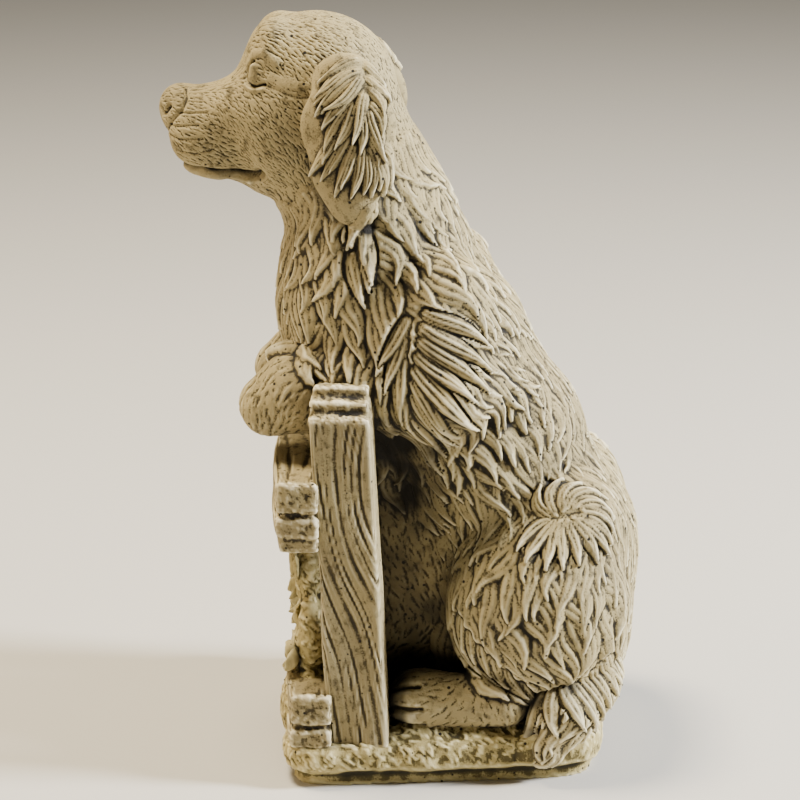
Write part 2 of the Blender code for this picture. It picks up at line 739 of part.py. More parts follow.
def make_rose():
    pieces = []
    for x, above, half_width, half_height, depth in BANK:
        pieces.append(make_lump(rose_spot(x, above, 0.0), (half_width, depth, half_height), 0.0, rounds=2))
    for x, above, radius in BLOOMS:
        pieces.append(make_lump(rose_spot(x, above, BLOOM_STAND), (radius, radius * 0.7, radius), 0.0))
    for x, above, turn in LEAVES:
        radii = (LEAF_LENGTH / 2.0, LEAF_THICKNESS / 2.0, LEAF_WIDTH / 2.0)
        pieces.append(make_lump(rose_spot(x, above, BLOOM_STAND), radii, turn))
    return pieces


def cast_as_one(pieces):
    """Run the overlapping pieces into one closed skin, as the stone was poured."""
    shape = bmesh.new()
    for piece in pieces:
        shape.from_mesh(piece.data)
        bpy.data.objects.remove(piece)
    mesh = bpy.data.meshes.new("statue")
    shape.to_mesh(mesh)
    shape.free()
    statue = bpy.data.objects.new("statue", mesh)
    bpy.context.scene.collection.objects.link(statue)
    remesh = statue.modifiers.new("remesh", "REMESH")
    remesh.mode = "VOXEL"
    remesh.voxel_size = CAST_VOXEL
    apply_modifiers(statue)
    return statue


def body_from(seed):
    found = {seed}
    edge_of_search = [seed]
    while edge_of_search:
        vertex = edge_of_search.pop()
        for edge in vertex.link_edges:
            other = edge.other_vert(vertex)
            if other not in found:
                found.add(other)
                edge_of_search.append(other)
    return found


def keep_outer_skin(body):
    """Pockets closed inside the stone don't count: only the skin that reaches the crown is kept."""
    shape = bmesh.new()
    shape.from_mesh(body.data)
    crown = max(shape.verts, key=lambda vertex: vertex.co.z)
    outer = body_from(crown)
    bmesh.ops.delete(shape, geom=[vertex for vertex in shape.verts if vertex not in outer], context="VERTS")
    shape.to_mesh(body.data)
    shape.free()


def thin_facets(body):
    """Few large facets where the stone is plain and small ones where it is carved, on a flat underside."""
    thin = body.modifiers.new("thin", "DECIMATE")
    thin.ratio = STATUE_FACETS / (2 * len(body.data.polygons))
    apply_modifiers(body)
    for vertex in body.data.vertices:
        if vertex.co.z < CAST_VOXEL:
            vertex.co.z = 0.0


def main():
    clear_scene()
    statue = cast_as_one([make_figure(), make_base()] + make_fence() + make_rose())
    keep_outer_skin(statue)
    thin_facets(statue)
    statue.name = "stone_dog_statue"
    statue.data.name = "stone_dog_statue"
    statue.data.materials.clear()
    statue.data.materials.append(stone_material())


if __name__ == "__main__":
    main()
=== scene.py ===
# %% [markdown]
# # A cast stone dog that leans over a rustic fence
#
# The statue is one casting in reconstituted stone: a long-haired dog sits up on a slab of rough grass
# and lays its forelegs over a rail fence with roses growing on it. All of it is stone, so there is one
# body and one family of finishes. What makes it look real is the carving: locks of hair, short strokes
# of the rasp, weathered timber, and hollows painted dark, both for the dirt settled in them and as painted
# shade.
#
# The lesson goes from large to small. First the masses are set out, then the skin that joins them, then
# the coat, and only then the stone's colour, with painted shade and painted highlights in it.

import json
import math

import bpy
import numpy as np
from mathutils import Matrix, Vector, bvhtree, kdtree, noise

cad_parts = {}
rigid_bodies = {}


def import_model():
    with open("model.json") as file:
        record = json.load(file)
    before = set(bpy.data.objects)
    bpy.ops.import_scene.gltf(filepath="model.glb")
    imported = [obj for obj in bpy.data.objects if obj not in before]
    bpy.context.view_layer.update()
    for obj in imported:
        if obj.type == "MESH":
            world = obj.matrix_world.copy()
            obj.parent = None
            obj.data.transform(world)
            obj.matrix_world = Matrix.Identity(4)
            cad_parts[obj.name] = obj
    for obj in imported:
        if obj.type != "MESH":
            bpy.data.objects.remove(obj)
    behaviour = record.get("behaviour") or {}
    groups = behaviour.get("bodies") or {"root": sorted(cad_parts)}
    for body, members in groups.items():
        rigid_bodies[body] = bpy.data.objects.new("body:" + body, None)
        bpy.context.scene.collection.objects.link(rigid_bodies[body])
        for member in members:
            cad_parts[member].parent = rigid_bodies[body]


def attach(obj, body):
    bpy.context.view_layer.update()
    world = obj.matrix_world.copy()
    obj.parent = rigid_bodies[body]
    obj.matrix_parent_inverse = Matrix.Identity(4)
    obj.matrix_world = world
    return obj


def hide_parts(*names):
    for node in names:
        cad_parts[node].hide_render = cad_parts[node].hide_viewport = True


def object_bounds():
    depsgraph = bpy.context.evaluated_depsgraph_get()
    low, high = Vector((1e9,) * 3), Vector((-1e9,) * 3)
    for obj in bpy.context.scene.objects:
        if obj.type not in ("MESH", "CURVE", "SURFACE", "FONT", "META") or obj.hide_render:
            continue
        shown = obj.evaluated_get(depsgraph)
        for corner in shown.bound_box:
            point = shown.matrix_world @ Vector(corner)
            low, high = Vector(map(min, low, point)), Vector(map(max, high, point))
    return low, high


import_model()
cad_box = [[round(value, 6) for value in corner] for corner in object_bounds()]
print("solid model from", cad_box[0], "to", cad_box[1])

# %% [markdown]
# ## Units
#
# A carver works from drawings in millimetres, measured up from the ground that the dog sits on. The
# tables below do the same. One helper turns such a place into Blender's metres. The grass lies 36 mm
# above the underside, which is the thickness of the slab.

# %% Millimetres above the grass, and a few helpers
MM = 0.001
GRASS = 0.036
LIFT = np.array((0.0, 0.0, GRASS))
BODY = "root"
NODE = "stone_dog_statue"
SEED = 7


def metres(place):
    return Vector((place[0] * MM, place[1] * MM, place[2] * MM + GRASS))


def only(piece):
    """Make one piece the whole selection, since an operator acts on all that is selected."""
    bpy.ops.object.select_all(action="DESELECT")
    piece.select_set(True)
    bpy.context.view_layer.objects.active = piece
    return piece


def place_applied(piece):
    only(piece)
    bpy.ops.object.transform_apply(location=True, rotation=True, scale=True)
    return piece


def named(piece, name):
    piece.name = piece.data.name = name
    return piece


def joined(pieces, name):
    only(pieces[0])
    for piece in pieces:
        piece.select_set(True)
    bpy.ops.object.join()
    return place_applied(named(bpy.context.view_layer.objects.active, name))


def with_modifier(piece, kind, **settings):
    modifier = piece.modifiers.new(kind.lower(), kind)
    for setting, value in settings.items():
        setattr(modifier, setting, value)
    only(piece)
    bpy.ops.object.modifier_apply(modifier=modifier.name)
    return piece


def remeshed(piece, voxel):
    return with_modifier(piece, "REMESH", mode="VOXEL", voxel_size=voxel * MM)


def triangles(piece):
    return sum(len(face.vertices) - 2 for face in piece.data.polygons)


def read(parts, field, width=3, kind=np.float32):
    """One field of all vertices, edges or faces, as an array with a row for each."""
    flat = np.empty(len(parts) * width, kind)
    parts.foreach_get(field, flat)
    return flat.reshape(-1, width)


def above_grass(rows):
    """Metres turned into millimetres above the grass."""
    return (rows.astype(float) - LIFT) / MM


def places_of(piece):
    return above_grass(read(piece.data.vertices, "co"))


def normals_of(piece):
    return read(piece.data.vertex_normals, "vector").astype(float)


def move_to(piece, places):
    piece.data.vertices.foreach_set("co", (places * MM + LIFT).astype(np.float32).ravel())
    piece.data.update()


def lengths(vectors):
    return np.sqrt((vectors ** 2).sum(axis=-1))


def unit(vectors):
    return vectors / np.maximum(lengths(vectors), 1e-9)[..., None]


def on_left(points):
    """The points with the dog's right half folded over onto its left half."""
    return np.column_stack([np.abs(points[:, 0]), points[:, 1:]])


def noise_at(places, size, shift=0.0):
    """Smooth noise between -1 and 1 whose bumps are about as large as the size."""
    moved = Vector((shift, shift, shift))
    return np.array([noise.noise(Vector(place) / size + moved) for place in places])


# %% [markdown]
# ## The masses of the dog
#
# A sculptor builds a dog from simple masses before any hair is cut: egg shapes for ribcage, haunch and
# skull, and tapered bars for neck, jaws, legs and tail. Here each is one row of a table. A row with its
# centre off the middle plane is made on both sides, as an animal is.

# %% Tables of masses, in millimetres
# Rounded masses: centre, radii, lean back in degrees
TRUNK = (
    ((0, -57, 350), (60, 54, 59), 15),
    ((0, -50, 310), (70, 72, 72), 15),
    ((0, -4, 283), (74, 66, 64), 30),
    ((0, 43, 177), (70, 58, 85), 28),
    ((0, 77, 110), (84, 72, 89), 12),
    ((0, 78, 48), (78, 64, 61), 0),
    ((0, 24, 226), (71, 60, 62), 30),
    ((0, 8, 83), (46, 44, 104), 0),
    ((0, -34, 100), (46, 42, 124), 0),
    ((0, -64, 214), (56, 34, 52), 0),
)
HEAD = (
    ((0, -96, 477), (50, 60, 57), 0),
    ((17, -126, 508), (20, 16, 22), 0),
    ((30, -112, 451), (22, 38, 36), 0),
    ((20, -142, 465), (18, 26, 20), 0),
    ((13, -185, 441), (14, 20, 21), 0),
    ((16, -165, 439), (15, 28, 26), 0),
    ((0, -201, 461), (14, 13, 16), 0),
    ((29, -132, 490), (6, 6, 8), 0),
)
LIMBS = (
    ((52, -10, 300), (30, 42, 60), 20),
    ((66, 76, 93), (42, 66, 72), -8),
    ((48, 97, 147), (39, 41, 46), 0),
    ((80, -14, 20), (22, 24, 20), 0),
)
EARS = (
    ((52, -70, 492), (11, 23, 20), 0),
    ((58, -60, 460), (10, 24, 30), 0),
    ((59, -68, 459), (11, 34, 34), 0),
    ((62, -66, 427), (10, 28, 28), 0),
    ((60, -65, 403), (8, 16, 17), 0),
)
# Tapered masses: start, end, start radius, end radius
NECK = (
    ((0, -76, 424), (0, -60, 371), 45, 43),
    ((0, -65, 444), (0, -31, 358), 37, 43),
)
JAWS = (
    ((0, -148, 460), (0, -188, 459), 26, 17),
    ((0, -140, 422), (0, -182, 425), 22, 11),
    ((0, -111, 426), (0, -83, 408), 38, 43),
)
LEGS = (
    ((58, 8, 258), (54, -60, 262), 31, 25),
    ((54, -60, 262), (50, -108, 258), 24, 24),
    ((50, -108, 258), (50, -128, 244), 26, 24),
    ((52, -104, 250), (52, -76, 240), 24, 20),
    ((84, 52, 22), (82, -8, 20), 20, 22),
)
TAIL = (
    ((4, 116, 38), (58, 110, 34), 23, 25),
    ((58, 110, 34), (86, 96, 16), 25, 20),
    ((86, 96, 16), (97, 84, -8), 20, 12),
)
# How softly the masses of a group run into each other
TRUNK_BLEND = 30
HEAD_BLEND = 14
LIMB_BLEND = 14
EAR_BLEND = 12
EAR_EDGE = 4
print(len(TRUNK + HEAD + LIMBS + EARS), "rounded and", len(NECK + JAWS + LEGS + TAIL), "tapered masses")

# %% [markdown]
# The masses are added as spheres and cones at their size and place, joined, and turned into one closed
# skin by a voxel remesh. That is the digital form of building up clay: overlaps disappear and every part
# becomes one surface. It is coarse on purpose, because a smooth surface is subdivided afterwards.

# %% Build the rough figure from spheres and cones
SIDES = 24
ROUGH_VOXEL = 5.4


def add_egg(centre, radii, lean=0.0):
    bpy.ops.mesh.primitive_uv_sphere_add(
        segments=SIDES, ring_count=SIDES // 2 + 4, radius=MM, location=metres(centre),
        rotation=(math.radians(-lean), 0.0, 0.0), scale=radii,
    )
    return bpy.context.object


def add_bar(start, end, start_radius, end_radius):
    run = Vector(end) - Vector(start)
    bpy.ops.mesh.primitive_cone_add(
        vertices=SIDES, radius1=start_radius * MM, radius2=end_radius * MM, depth=run.length * MM,
        location=metres(Vector(start) + run / 2), rotation=run.to_track_quat("Z", "Y").to_euler(),
    )
    bar = bpy.context.object
    return [bar, add_egg(start, (start_radius,) * 3), add_egg(end, (end_radius,) * 3)]


def other_side(place):
    return (-place[0], place[1], place[2])


masses = []
for centre, radii, lean in TRUNK + HEAD + LIMBS + EARS:
    masses.append(add_egg(centre, radii, lean))
    if centre[0]:
        masses.append(add_egg(other_side(centre), radii, lean))
for start, end, start_radius, end_radius in NECK + JAWS + LEGS + TAIL:
    masses += add_bar(start, end, start_radius, end_radius)
for start, end, start_radius, end_radius in LEGS:
    masses += add_bar(other_side(start), other_side(end), start_radius, end_radius)
figure = remeshed(joined(masses, "figure"), ROUGH_VOXEL)
print("rough figure:", len(figure.data.vertices), "vertices")

# %% [markdown]
# The remesh can leave closed pockets inside, which nobody would see and which spoil a mesh. Selecting
# what is linked to the highest point and deleting the rest leaves the outer skin alone.

# %% Keep the outer skin


def edit(piece, action="SELECT", kind="VERT"):
    """Open one piece in edit mode, with all of it selected or nothing."""
    only(piece)
    bpy.ops.object.mode_set(mode="EDIT")
    bpy.ops.mesh.select_mode(type=kind)
    bpy.ops.mesh.select_all(action=action)


def close(piece):
    bpy.ops.object.mode_set(mode="OBJECT")
    return piece


def edit_chosen(piece, parts, chosen, kind):
    """Open one piece in edit mode, with only the chosen vertices or faces selected."""
    edit(piece, "DESELECT", kind)
    getattr(close(piece).data, parts).foreach_set("select", chosen)
    bpy.ops.object.mode_set(mode="EDIT")


def keep_outer_skin(piece):
    heights = places_of(piece)[:, 2]
    edit_chosen(piece, "vertices", np.arange(len(heights)) == heights.argmax(), "VERT")
    bpy.ops.mesh.select_linked()
    bpy.ops.mesh.select_all(action="INVERT")
    bpy.ops.mesh.delete(type="VERT")
    return close(piece)


keep_outer_skin(figure)
print("outer skin:", len(figure.data.vertices), "vertices")

# %% [markdown]
# ## A soft skin over the masses
#
# Joined spheres meet in creases, and a dog has none there. So the same masses are also written as a
# distance: how far a point is outside the nearest mass, with the groups run softly into each other. Each
# vertex is then pulled onto the surface where that distance is nothing. No operator does this, so the
# sums are done on whole arrays of points at once.

# %% The skin as a distance


def smooth_union(first, second, blend):
    overlap = np.maximum(blend - np.abs(first - second), 0.0) / blend
    return np.minimum(first, second) - overlap * overlap * blend * 0.25


def rounded_distance(points, mass):
    centre, radii, lean = mass
    offset = points - np.array(centre)
    turn = math.radians(lean)
    along = offset[:, 1] * math.cos(turn) - offset[:, 2] * math.sin(turn)
    above = offset[:, 1] * math.sin(turn) + offset[:, 2] * math.cos(turn)
    scaled = np.stack([offset[:, 0], along, above], axis=1) / np.array(radii)
    reach, slope = lengths(scaled), lengths(scaled / np.array(radii))
    return reach * (reach - 1.0) / np.maximum(slope, 1e-6)


def tapered_distance(points, mass):
    start, end, start_radius, end_radius = mass
    axis = np.array(end, float) - np.array(start, float)
    share = np.clip((points - np.array(start)) @ axis / (axis @ axis), 0.0, 1.0)
    apart = points - np.array(start) - share[:, None] * axis
    return lengths(apart) - (start_radius + (end_radius - start_radius) * share)


def group_distance(points, rounded, tapered, blend):
    total = None
    for measure, group in ((rounded_distance, rounded), (tapered_distance, tapered)):
        for mass in group:
            field = measure(points, mass)
            total = field if total is None else smooth_union(total, field, blend)
    return total


def skin_distance(points):
    left = on_left(points)
    trunk = group_distance(left, TRUNK, NECK, TRUNK_BLEND)
    limbs = group_distance(left, LIMBS, LEGS, LIMB_BLEND)
    head = group_distance(left, HEAD, JAWS, HEAD_BLEND)
    ears = group_distance(left, EARS, (), EAR_BLEND)
    tail = group_distance(points, (), TAIL, LIMB_BLEND)
    body = smooth_union(smooth_union(trunk, limbs, LIMB_BLEND), head, HEAD_BLEND)
    return smooth_union(smooth_union(body, tail, EAR_EDGE), ears, EAR_EDGE)


def skin_normals(points, step=0.5):
    corners = np.array([[1, -1, -1], [-1, -1, 1], [-1, 1, -1], [1, 1, 1]], float)
    slope = sum(corner * skin_distance(points + step * corner)[:, None] for corner in corners)
    return unit(slope)


LARGEST_DROP = 6.0


def drop_along(points, ways):
    """The points moved onto the skin, each along its own way."""
    return points - skin_distance(points)[:, None].clip(-LARGEST_DROP, LARGEST_DROP) * ways


def drop_to_skin(points, passes=2):
    for _ in range(passes):
        points = drop_along(points, skin_normals(points))
    return points


# %% [markdown]
# Pulling alone would bunch the vertices, so each pass first moves every vertex halfway towards the
# middle of its neighbours and then drops it onto the skin. A few passes give an even, quiet mesh. Two
# levels of subdivision then bring its edges down to about 1.4 mm, fine enough for a strand of hair.

# %% Settle the mesh on the skin and refine it
SETTLE_PASSES = 5


def ends_of(piece):
    """The first end of every edge, and the second."""
    return read(piece.data.edges, "vertices", 2, np.int32).T


def evened(values, first, second, passes):
    """Values on the vertices, each mixed half and half with the mean of its neighbours."""
    count = len(values)
    neighbours = np.bincount(first, minlength=count) + np.bincount(second, minlength=count)
    neighbours = np.maximum(neighbours, 1)[:, None]
    for _ in range(passes):
        around = [
            np.bincount(first, column[second], count) + np.bincount(second, column[first], count)
            for column in values.T
        ]
        values = (values + np.stack(around, axis=1) / neighbours) / 2.0
    return values


first, second = ends_of(figure)
settled = places_of(figure)
for _ in range(SETTLE_PASSES):
    settled = drop_to_skin(evened(settled, first, second, 1))
move_to(figure, settled)
with_modifier(figure, "SUBSURF", levels=2, render_levels=2)
print("after subdivision:", triangles(figure), "triangles")

# %% [markdown]
# The face carries the finest work, strokes that are barely 2 mm wide, so its faces and those on the
# outside of the ears are selected by their place and divided once more. The rest stays as it is, which
# keeps the whole figure light.

# %% Divide the face and ears once more


def face_centres(piece):
    return above_grass(read(piece.data.polygons, "center"))


FACE_BACK, FACE_BOTTOM = -70, 410
EAR_INSIDE, EAR_BACK, EAR_BOTTOM = 54, -28, 385

across, along, above = on_left(face_centres(figure)).T
face_area = (along < FACE_BACK) & (above > FACE_BOTTOM)
ear_area = (across > EAR_INSIDE) & (along < EAR_BACK) & (above > EAR_BOTTOM)
edit_chosen(figure, "polygons", face_area | ear_area, "FACE")
bpy.ops.mesh.subdivide(number_cuts=1)
close(figure)
move_to(figure, drop_along(places_of(figure), normals_of(figure)))
print("with a finer face:", triangles(figure), "triangles")

# %% [markdown]
# ## How the coat is combed
#
# Hair has a direction everywhere on the body. The carver would draw it on the clay with a few arrows.
# Each row below is such an arrow, with the length, width and height of the locks there, and any other
# point takes a mixture of the arrows near it. Some groups of locks spring from one line instead, at the
# shoulder, hip, ear, thigh and tail, and spread like a fan. They are listed by their line and angles.

# %% Tables of combing, in millimetres and degrees
# A place, the way the hair runs there, and the locks' length, width and height
COAT = (
    ((0, -35, 505), (0, 0.6, -0.8), 22, 8, 1.0),
    ((34, -20, 445), (0, 0.5, -0.9), 38, 12, 3.6),
    ((0, 8, 395), (0, 0.4, -0.9), 40, 8, 2.2),
    ((0, -126, 385), (0, 0.1, -1.0), 34, 12, 3.5),
    ((48, -70, 385), (0, 0.3, -1.0), 44, 14, 5.0),
    ((58, -30, 372), (0, 0.6, -0.9), 48, 14, 5.0),
    ((0, -124, 330), (0, 0.0, -1.0), 46, 14, 5.0),
    ((58, -90, 335), (0, -0.1, -1.0), 50, 15, 6.0),
    ((70, -50, 330), (0, 0.2, -1.0), 50, 15, 6.0),
    ((56, -85, 290), (0, -0.1, -1.0), 44, 14, 5.0),
    ((80, -20, 285), (0, -0.3, -1.0), 56, 13, 4.5),
    ((80, -2, 320), (0, 0.6, -0.9), 50, 13, 5.5),
    ((80, 2, 270), (0, 0.8, -0.6), 50, 12, 5.5),
    ((82, 22, 292), (0, 0.9, -0.5), 50, 12, 5.5),
    ((78, 42, 275), (0, 1.0, -0.1), 40, 11, 4.5),
    ((60, 40, 330), (0, 0.5, -0.9), 46, 9, 2.8),
    ((30, 60, 300), (0, 0.5, -0.9), 54, 8, 2.0),
    ((0, 90, 255), (0, 0.5, -0.9), 56, 8, 2.0),
    ((66, 60, 230), (0, 0.3, -1.0), 54, 9, 2.4),
    ((72, 20, 215), (0, 0.5, -0.9), 50, 9, 3.0),
    ((56, 100, 205), (0, 0.3, -1.0), 46, 9, 2.4),
    ((0, 150, 140), (0, 0.1, -1.0), 50, 9, 2.6),
    ((84, 40, 130), (0, -0.3, -1.0), 50, 13, 4.4),
    ((96, 80, 100), (0, 0.1, -1.0), 50, 13, 4.6),
    ((70, 125, 90), (0, 0.0, -1.0), 50, 12, 4.0),
    ((90, 30, 70), (0, 0.5, -0.9), 42, 13, 4.8),
    ((96, 70, 50), (0, 0.6, -0.8), 42, 13, 4.8),
    ((60, 140, 40), (0, -0.3, -1.0), 46, 10, 3.6),
    ((92, 104, 20), (0, -0.5, -0.9), 38, 9, 4.0),
    ((56, 0, 150), (0, 0.3, -1.0), 26, 10, 1.5),
)
# First root, last root, first and last angle in the side view, from the back towards up, first and
# last bend, count, length, width, height
FANS = (
    ((82, -16, 330), (80, -22, 252), -28, -102, 2, 42, 9, 68, 17, 8.5),
    ((82, -20, 326), (78, -28, 256), 232, 262, 10, 60, 6, 54, 17, 7.0),
    ((92, 88, 176), (92, 106, 184), 150, 20, -50, -70, 7, 36, 15, 6.5),
    ((92, 106, 180), (92, 86, 174), -20, -160, -30, 45, 8, 40, 16, 6.5),
    ((60, -54, 510), (66, -60, 462), 192, 216, 30, 30, 7, 42, 12, 4.4),
    ((62, -66, 500), (66, -70, 462), 208, 228, 20, 30, 5, 32, 11, 5.6),
    ((60, -54, 508), (66, -52, 458), -30, -64, -44, -20, 6, 27, 12, 4.4),
    ((66, -60, 480), (66, -52, 474), 246, 286, 0, 0, 3, 38, 12, 6.0),
    ((64, -56, 498), (66, -52, 476), 238, 270, -18, 26, 3, 42, 12, 6.6),
    ((66, -66, 452), (66, -46, 450), 198, 320, 34, -34, 7, 42, 12, 5.4),
    ((66, -60, 446), (66, -50, 444), 232, 292, 24, -24, 4, 34, 11, 6.8),
    ((90, 132, 66), (90, 86, 36), 288, 246, 25, 40, 8, 48, 18, 7.5),
    ((90, 20, 96), (90, 66, 52), 238, 262, 40, 60, 6, 36, 16, 6.0),
    ((74, -66, 372), (70, -30, 398), 262, 285, 30, -20, 6, 48, 18, 7.0),
)
# How the short hair of the face and limbs runs
SHORT_WAYS = (
    ((16, -196, 452), (0, 0.9, -0.4)),
    ((20, -166, 462), (0, 0.8, -0.6)),
    ((20, -166, 436), (0, 0.9, -0.4)),
    ((0, -178, 478), (0, 1.0, 0.1)),
    ((34, -120, 455), (0, 0.7, -0.7)),
    ((42, -96, 425), (0, 0.5, -0.9)),
    ((42, -104, 500), (0, 0.8, -0.6)),
    ((22, -118, 526), (0, 0.9, -0.4)),
    ((0, -142, 508), (0, 0.6, 0.8)),
    ((0, -96, 534), (0, 1.0, 0.0)),
    ((0, -52, 522), (0, 0.8, -0.6)),
    ((0, -150, 402), (0, 1.0, -0.2)),
    ((50, -100, 282), (0, -0.9, -0.3)),
    ((50, -150, 252), (0, -0.2, -1.0)),
    ((82, -10, 40), (0, -1.0, -0.3)),
    ((40, -40, 120), (0, 0.5, -0.9)),
)
# Where the coat is short: centre, radii
SHORT_COAT = (
    ((0, -135, 468), (68, 84, 74)),
    ((0, -62, 506), (84, 70, 60)),
    ((50, -118, 256), (46, 60, 50)),
    ((86, 14, 22), (46, 76, 46)),
    ((0, -40, 110), (66, 80, 130)),
)
print(len(COAT), "arrows,", len(FANS), "fans,", len(SHORT_WAYS), "arrows for short hair")

# %% [markdown]
# `comb` mixes the arrows by how near they are. `follow` walks a lock's middle line over the skin in
# small steps, asking at each step which way the hair runs and landing on the surface again. The loose
# locks swing from side to side as they go, and the fans bend steadily.

# %% Middle lines of the locks
LENGTH_SCALE = 1.15
WIDTH_SCALE = 1.75
LOCK_RELIEF = 1.3
TIP_CURL = 1.8
LOCK_STEPS = 8
LOCK_WAVE = 0.55
LOCK_TURNS = 0.9
ROOT_SPREAD = 0.33
COMB_SOFTNESS = 60.0
FAN_CURL = 1.6
FAN_SCATTER = 2.0
FAN_WAVE = 0.16


def arrow_rows(table):
    rows = []
    for place, way, *size in table:
        for side in (1, -1) if place[0] else (1,):
            rows.append((side * place[0], *place[1:], side * way[0], *way[1:], *size))
    return np.array(rows, float)


def comb(points, rows):
    """The way the hair runs at each point, and the size of the locks where the rows have one."""
    apart = ((points[:, None, :] - rows[None, :, :3]) ** 2).sum(axis=2)
    weights = 1.0 / (apart + COMB_SOFTNESS) ** 2
    weights /= weights.sum(axis=1, keepdims=True)
    return weights @ rows[:, 3:6], weights @ rows[:, 6:]


def lay_flat(way, normals):
    return unit(way - (way * normals).sum(axis=1, keepdims=True) * normals)


def swung(way, normals, turn):
    """Each way turned within the surface by its own angle."""
    return way * np.cos(turn)[:, None] + np.cross(normals, way) * np.sin(turn)[:, None]


def on_skin(points):
    landed = drop_to_skin(points, passes=1)
    return landed, skin_normals(landed)


def follow(roots, lengths, steer, land, steps=LOCK_STEPS):
    """Middle lines from the roots, each step going where steer says and landing on the surface."""
    place, up = land(roots)
    line, lift = [place], [up]
    for step in range(steps):
        way = lay_flat(steer(line[-1], lift[-1], step / steps), lift[-1])
        place, up = land(line[-1] + way * lengths[:, None] / steps)
        line.append(place)
        lift.append(up)
    return np.stack(line, axis=1), np.stack(lift, axis=1)


# %% [markdown]
# Roots are spread like seed: taken at random, but never nearer to each other than the locks need. Where
# the locks are small the roots stand close. A grid of cells keeps the search for neighbours short.

# %% Roots spread over the skin


def pick_roots(points, spread, rng):
    cell = spread.min()
    taken = {}
    roots = []
    for index in rng.permutation(len(points)):
        place, gap = points[index], spread[index]
        key = tuple((place // cell).astype(int))
        span = int(gap // cell) + 1
        near = (
            root
            for x in range(key[0] - span, key[0] + span + 1)
            for y in range(key[1] - span, key[1] + span + 1)
            for z in range(key[2] - span, key[2] + span + 1)
            for root in taken.get((x, y, z), ())
        )
        if all(((points[root] - place) ** 2).sum() > gap * gap for root in near):
            taken.setdefault(key, []).append(index)
            roots.append(index)
    return np.array(roots)


def long_coat(points):
    """1 where the coat is long, falling to 0 where it is short."""
    share, left = np.ones(len(points)), on_left(points)
    for centre, radii in SHORT_COAT:
        reach = lengths((left - np.array(centre)) / np.array(radii))
        share = np.minimum(share, np.clip((reach - 1.0) * 5.0, 0.0, 1.0))
    return share


# %% The three kinds of lock


def loose_locks(points, rng):
    rows = arrow_rows(COAT)
    rows[:, 6:] *= (LENGTH_SCALE, WIDTH_SCALE, LOCK_RELIEF)
    sizes = comb(points, rows)[1]
    roots = pick_roots(points, ROOT_SPREAD * np.sqrt(sizes[:, 0] * sizes[:, 1]), rng)
    count = len(roots)
    phase = rng.uniform(-0.4, 0.4, count) + points[roots, 2] * 0.05
    wave = LOCK_WAVE * rng.uniform(0.5, 1.3, count)
    lean = rng.normal(0.0, 0.10, count)
    # Neighbours within about 45 mm curl the same way, as combed hair does
    curl = TIP_CURL * noise_at(points[roots], 45.0, 6.0)

    def steer(place, normals, share):
        way = lay_flat(comb(place, rows)[0], normals)
        turn = lean + wave * np.sin(math.tau * LOCK_TURNS * share + phase) + curl * share ** 4
        return swung(way, normals, turn)

    sizes = sizes[roots] * rng.uniform(0.85, 1.15, (count, 1))
    return *follow(points[roots], sizes[:, 0], steer, on_skin), sizes


def fanned_locks(rng):
    rows = []
    for first_root, last_root, first_angle, last_angle, first_bend, last_bend, count, *size in FANS:
        start = np.array((*first_root, first_angle, first_bend))
        end = np.array((*last_root, last_angle, last_bend))
        for side in (1, -1):
            for share in np.linspace(0.0, 1.0, count):
                across, *others = start * (1.0 - share) + end * share
                rows.append((side * across, *others, *size))
    rows = np.array(rows)
    angles = np.radians(rows[:, 3] + rng.normal(0.0, FAN_SCATTER, len(rows)))
    bends = np.radians(rows[:, 4])
    phase = rng.uniform(-0.5, 0.5, len(rows))

    def steer(place, normals, share):
        turn = angles + bends * share * FAN_CURL + FAN_WAVE * np.sin(math.tau * share + phase)
        return np.stack([np.zeros(len(turn)), np.cos(turn), np.sin(turn)], axis=1)

    sizes = rows[:, 5:] * rng.uniform(0.9, 1.1, (len(rows), 1))
    return *follow(rows[:, :3], sizes[:, 0], steer, on_skin), sizes


def short_strokes(points, length, width, height, rng):
    rows = arrow_rows(SHORT_WAYS + tuple(row[:2] for row in COAT))
    roots = pick_roots(points, np.full(len(points), math.sqrt(length * width) * 0.85), rng)
    lean = rng.normal(0.0, 0.22, len(roots))

    def steer(place, normals, share):
        return swung(lay_flat(comb(place, rows)[0], normals), normals, lean)

    sizes = np.array([[length, width, height]]) * rng.uniform(0.7, 1.3, (len(roots), 1))
    return *follow(points[roots], sizes[:, 0], steer, on_skin, steps=3), sizes


# %% [markdown]
# A carved lock is a ridge that is low at its root, highest near its tip and drawn to a point, with a few
# grooves cut along it. Laid over each other like shingles, the highest lock at a place is the one that
# shows. So each lock is a small height field over the vertices near its middle line, and the skin takes
# the greatest height.

# %% Lay the locks as heights over the skin
STRANDS = 4
STRAND_CUT = 0.20
STRAND_WIDTH = 0.12
LOCK_TILT = 0.45
RIDGE_POWER = 2.8


def lock_outline(share):
    """Half width along a lock, full at its middle and drawn to a point at its tip."""
    return (0.65 + 0.35 * np.sin(math.pi * np.minimum(share * 1.2, 1.0))) * (1.0 - share ** 4) ** 0.8


def hair_profile(across, along, tilt):
    dome = (1.0 - np.clip(np.abs(across), 0.0, 1.0) ** RIDGE_POWER) * (1.0 + tilt * across)
    for strand in range(1, STRANDS):
        middle = 2.0 * strand / STRANDS - 1.0 + 0.5 * tilt
        groove = np.exp(-(((across - middle) / STRAND_WIDTH) ** 2))
        dome = dome - STRAND_CUT * groove * np.clip(1.6 * (1.0 - along), 0.0, 1.0)
    return dome * (0.32 + 0.68 * np.clip(along / 0.8, 0.0, 1.0)) * np.clip(along / 0.12, 0.0, 1.0)


def stroke_profile(across, along, tilt):
    return (1.0 - across ** 2) * np.clip(np.sin(math.pi * np.clip(along, 0.0, 1.0)), 0.0, 1.0)


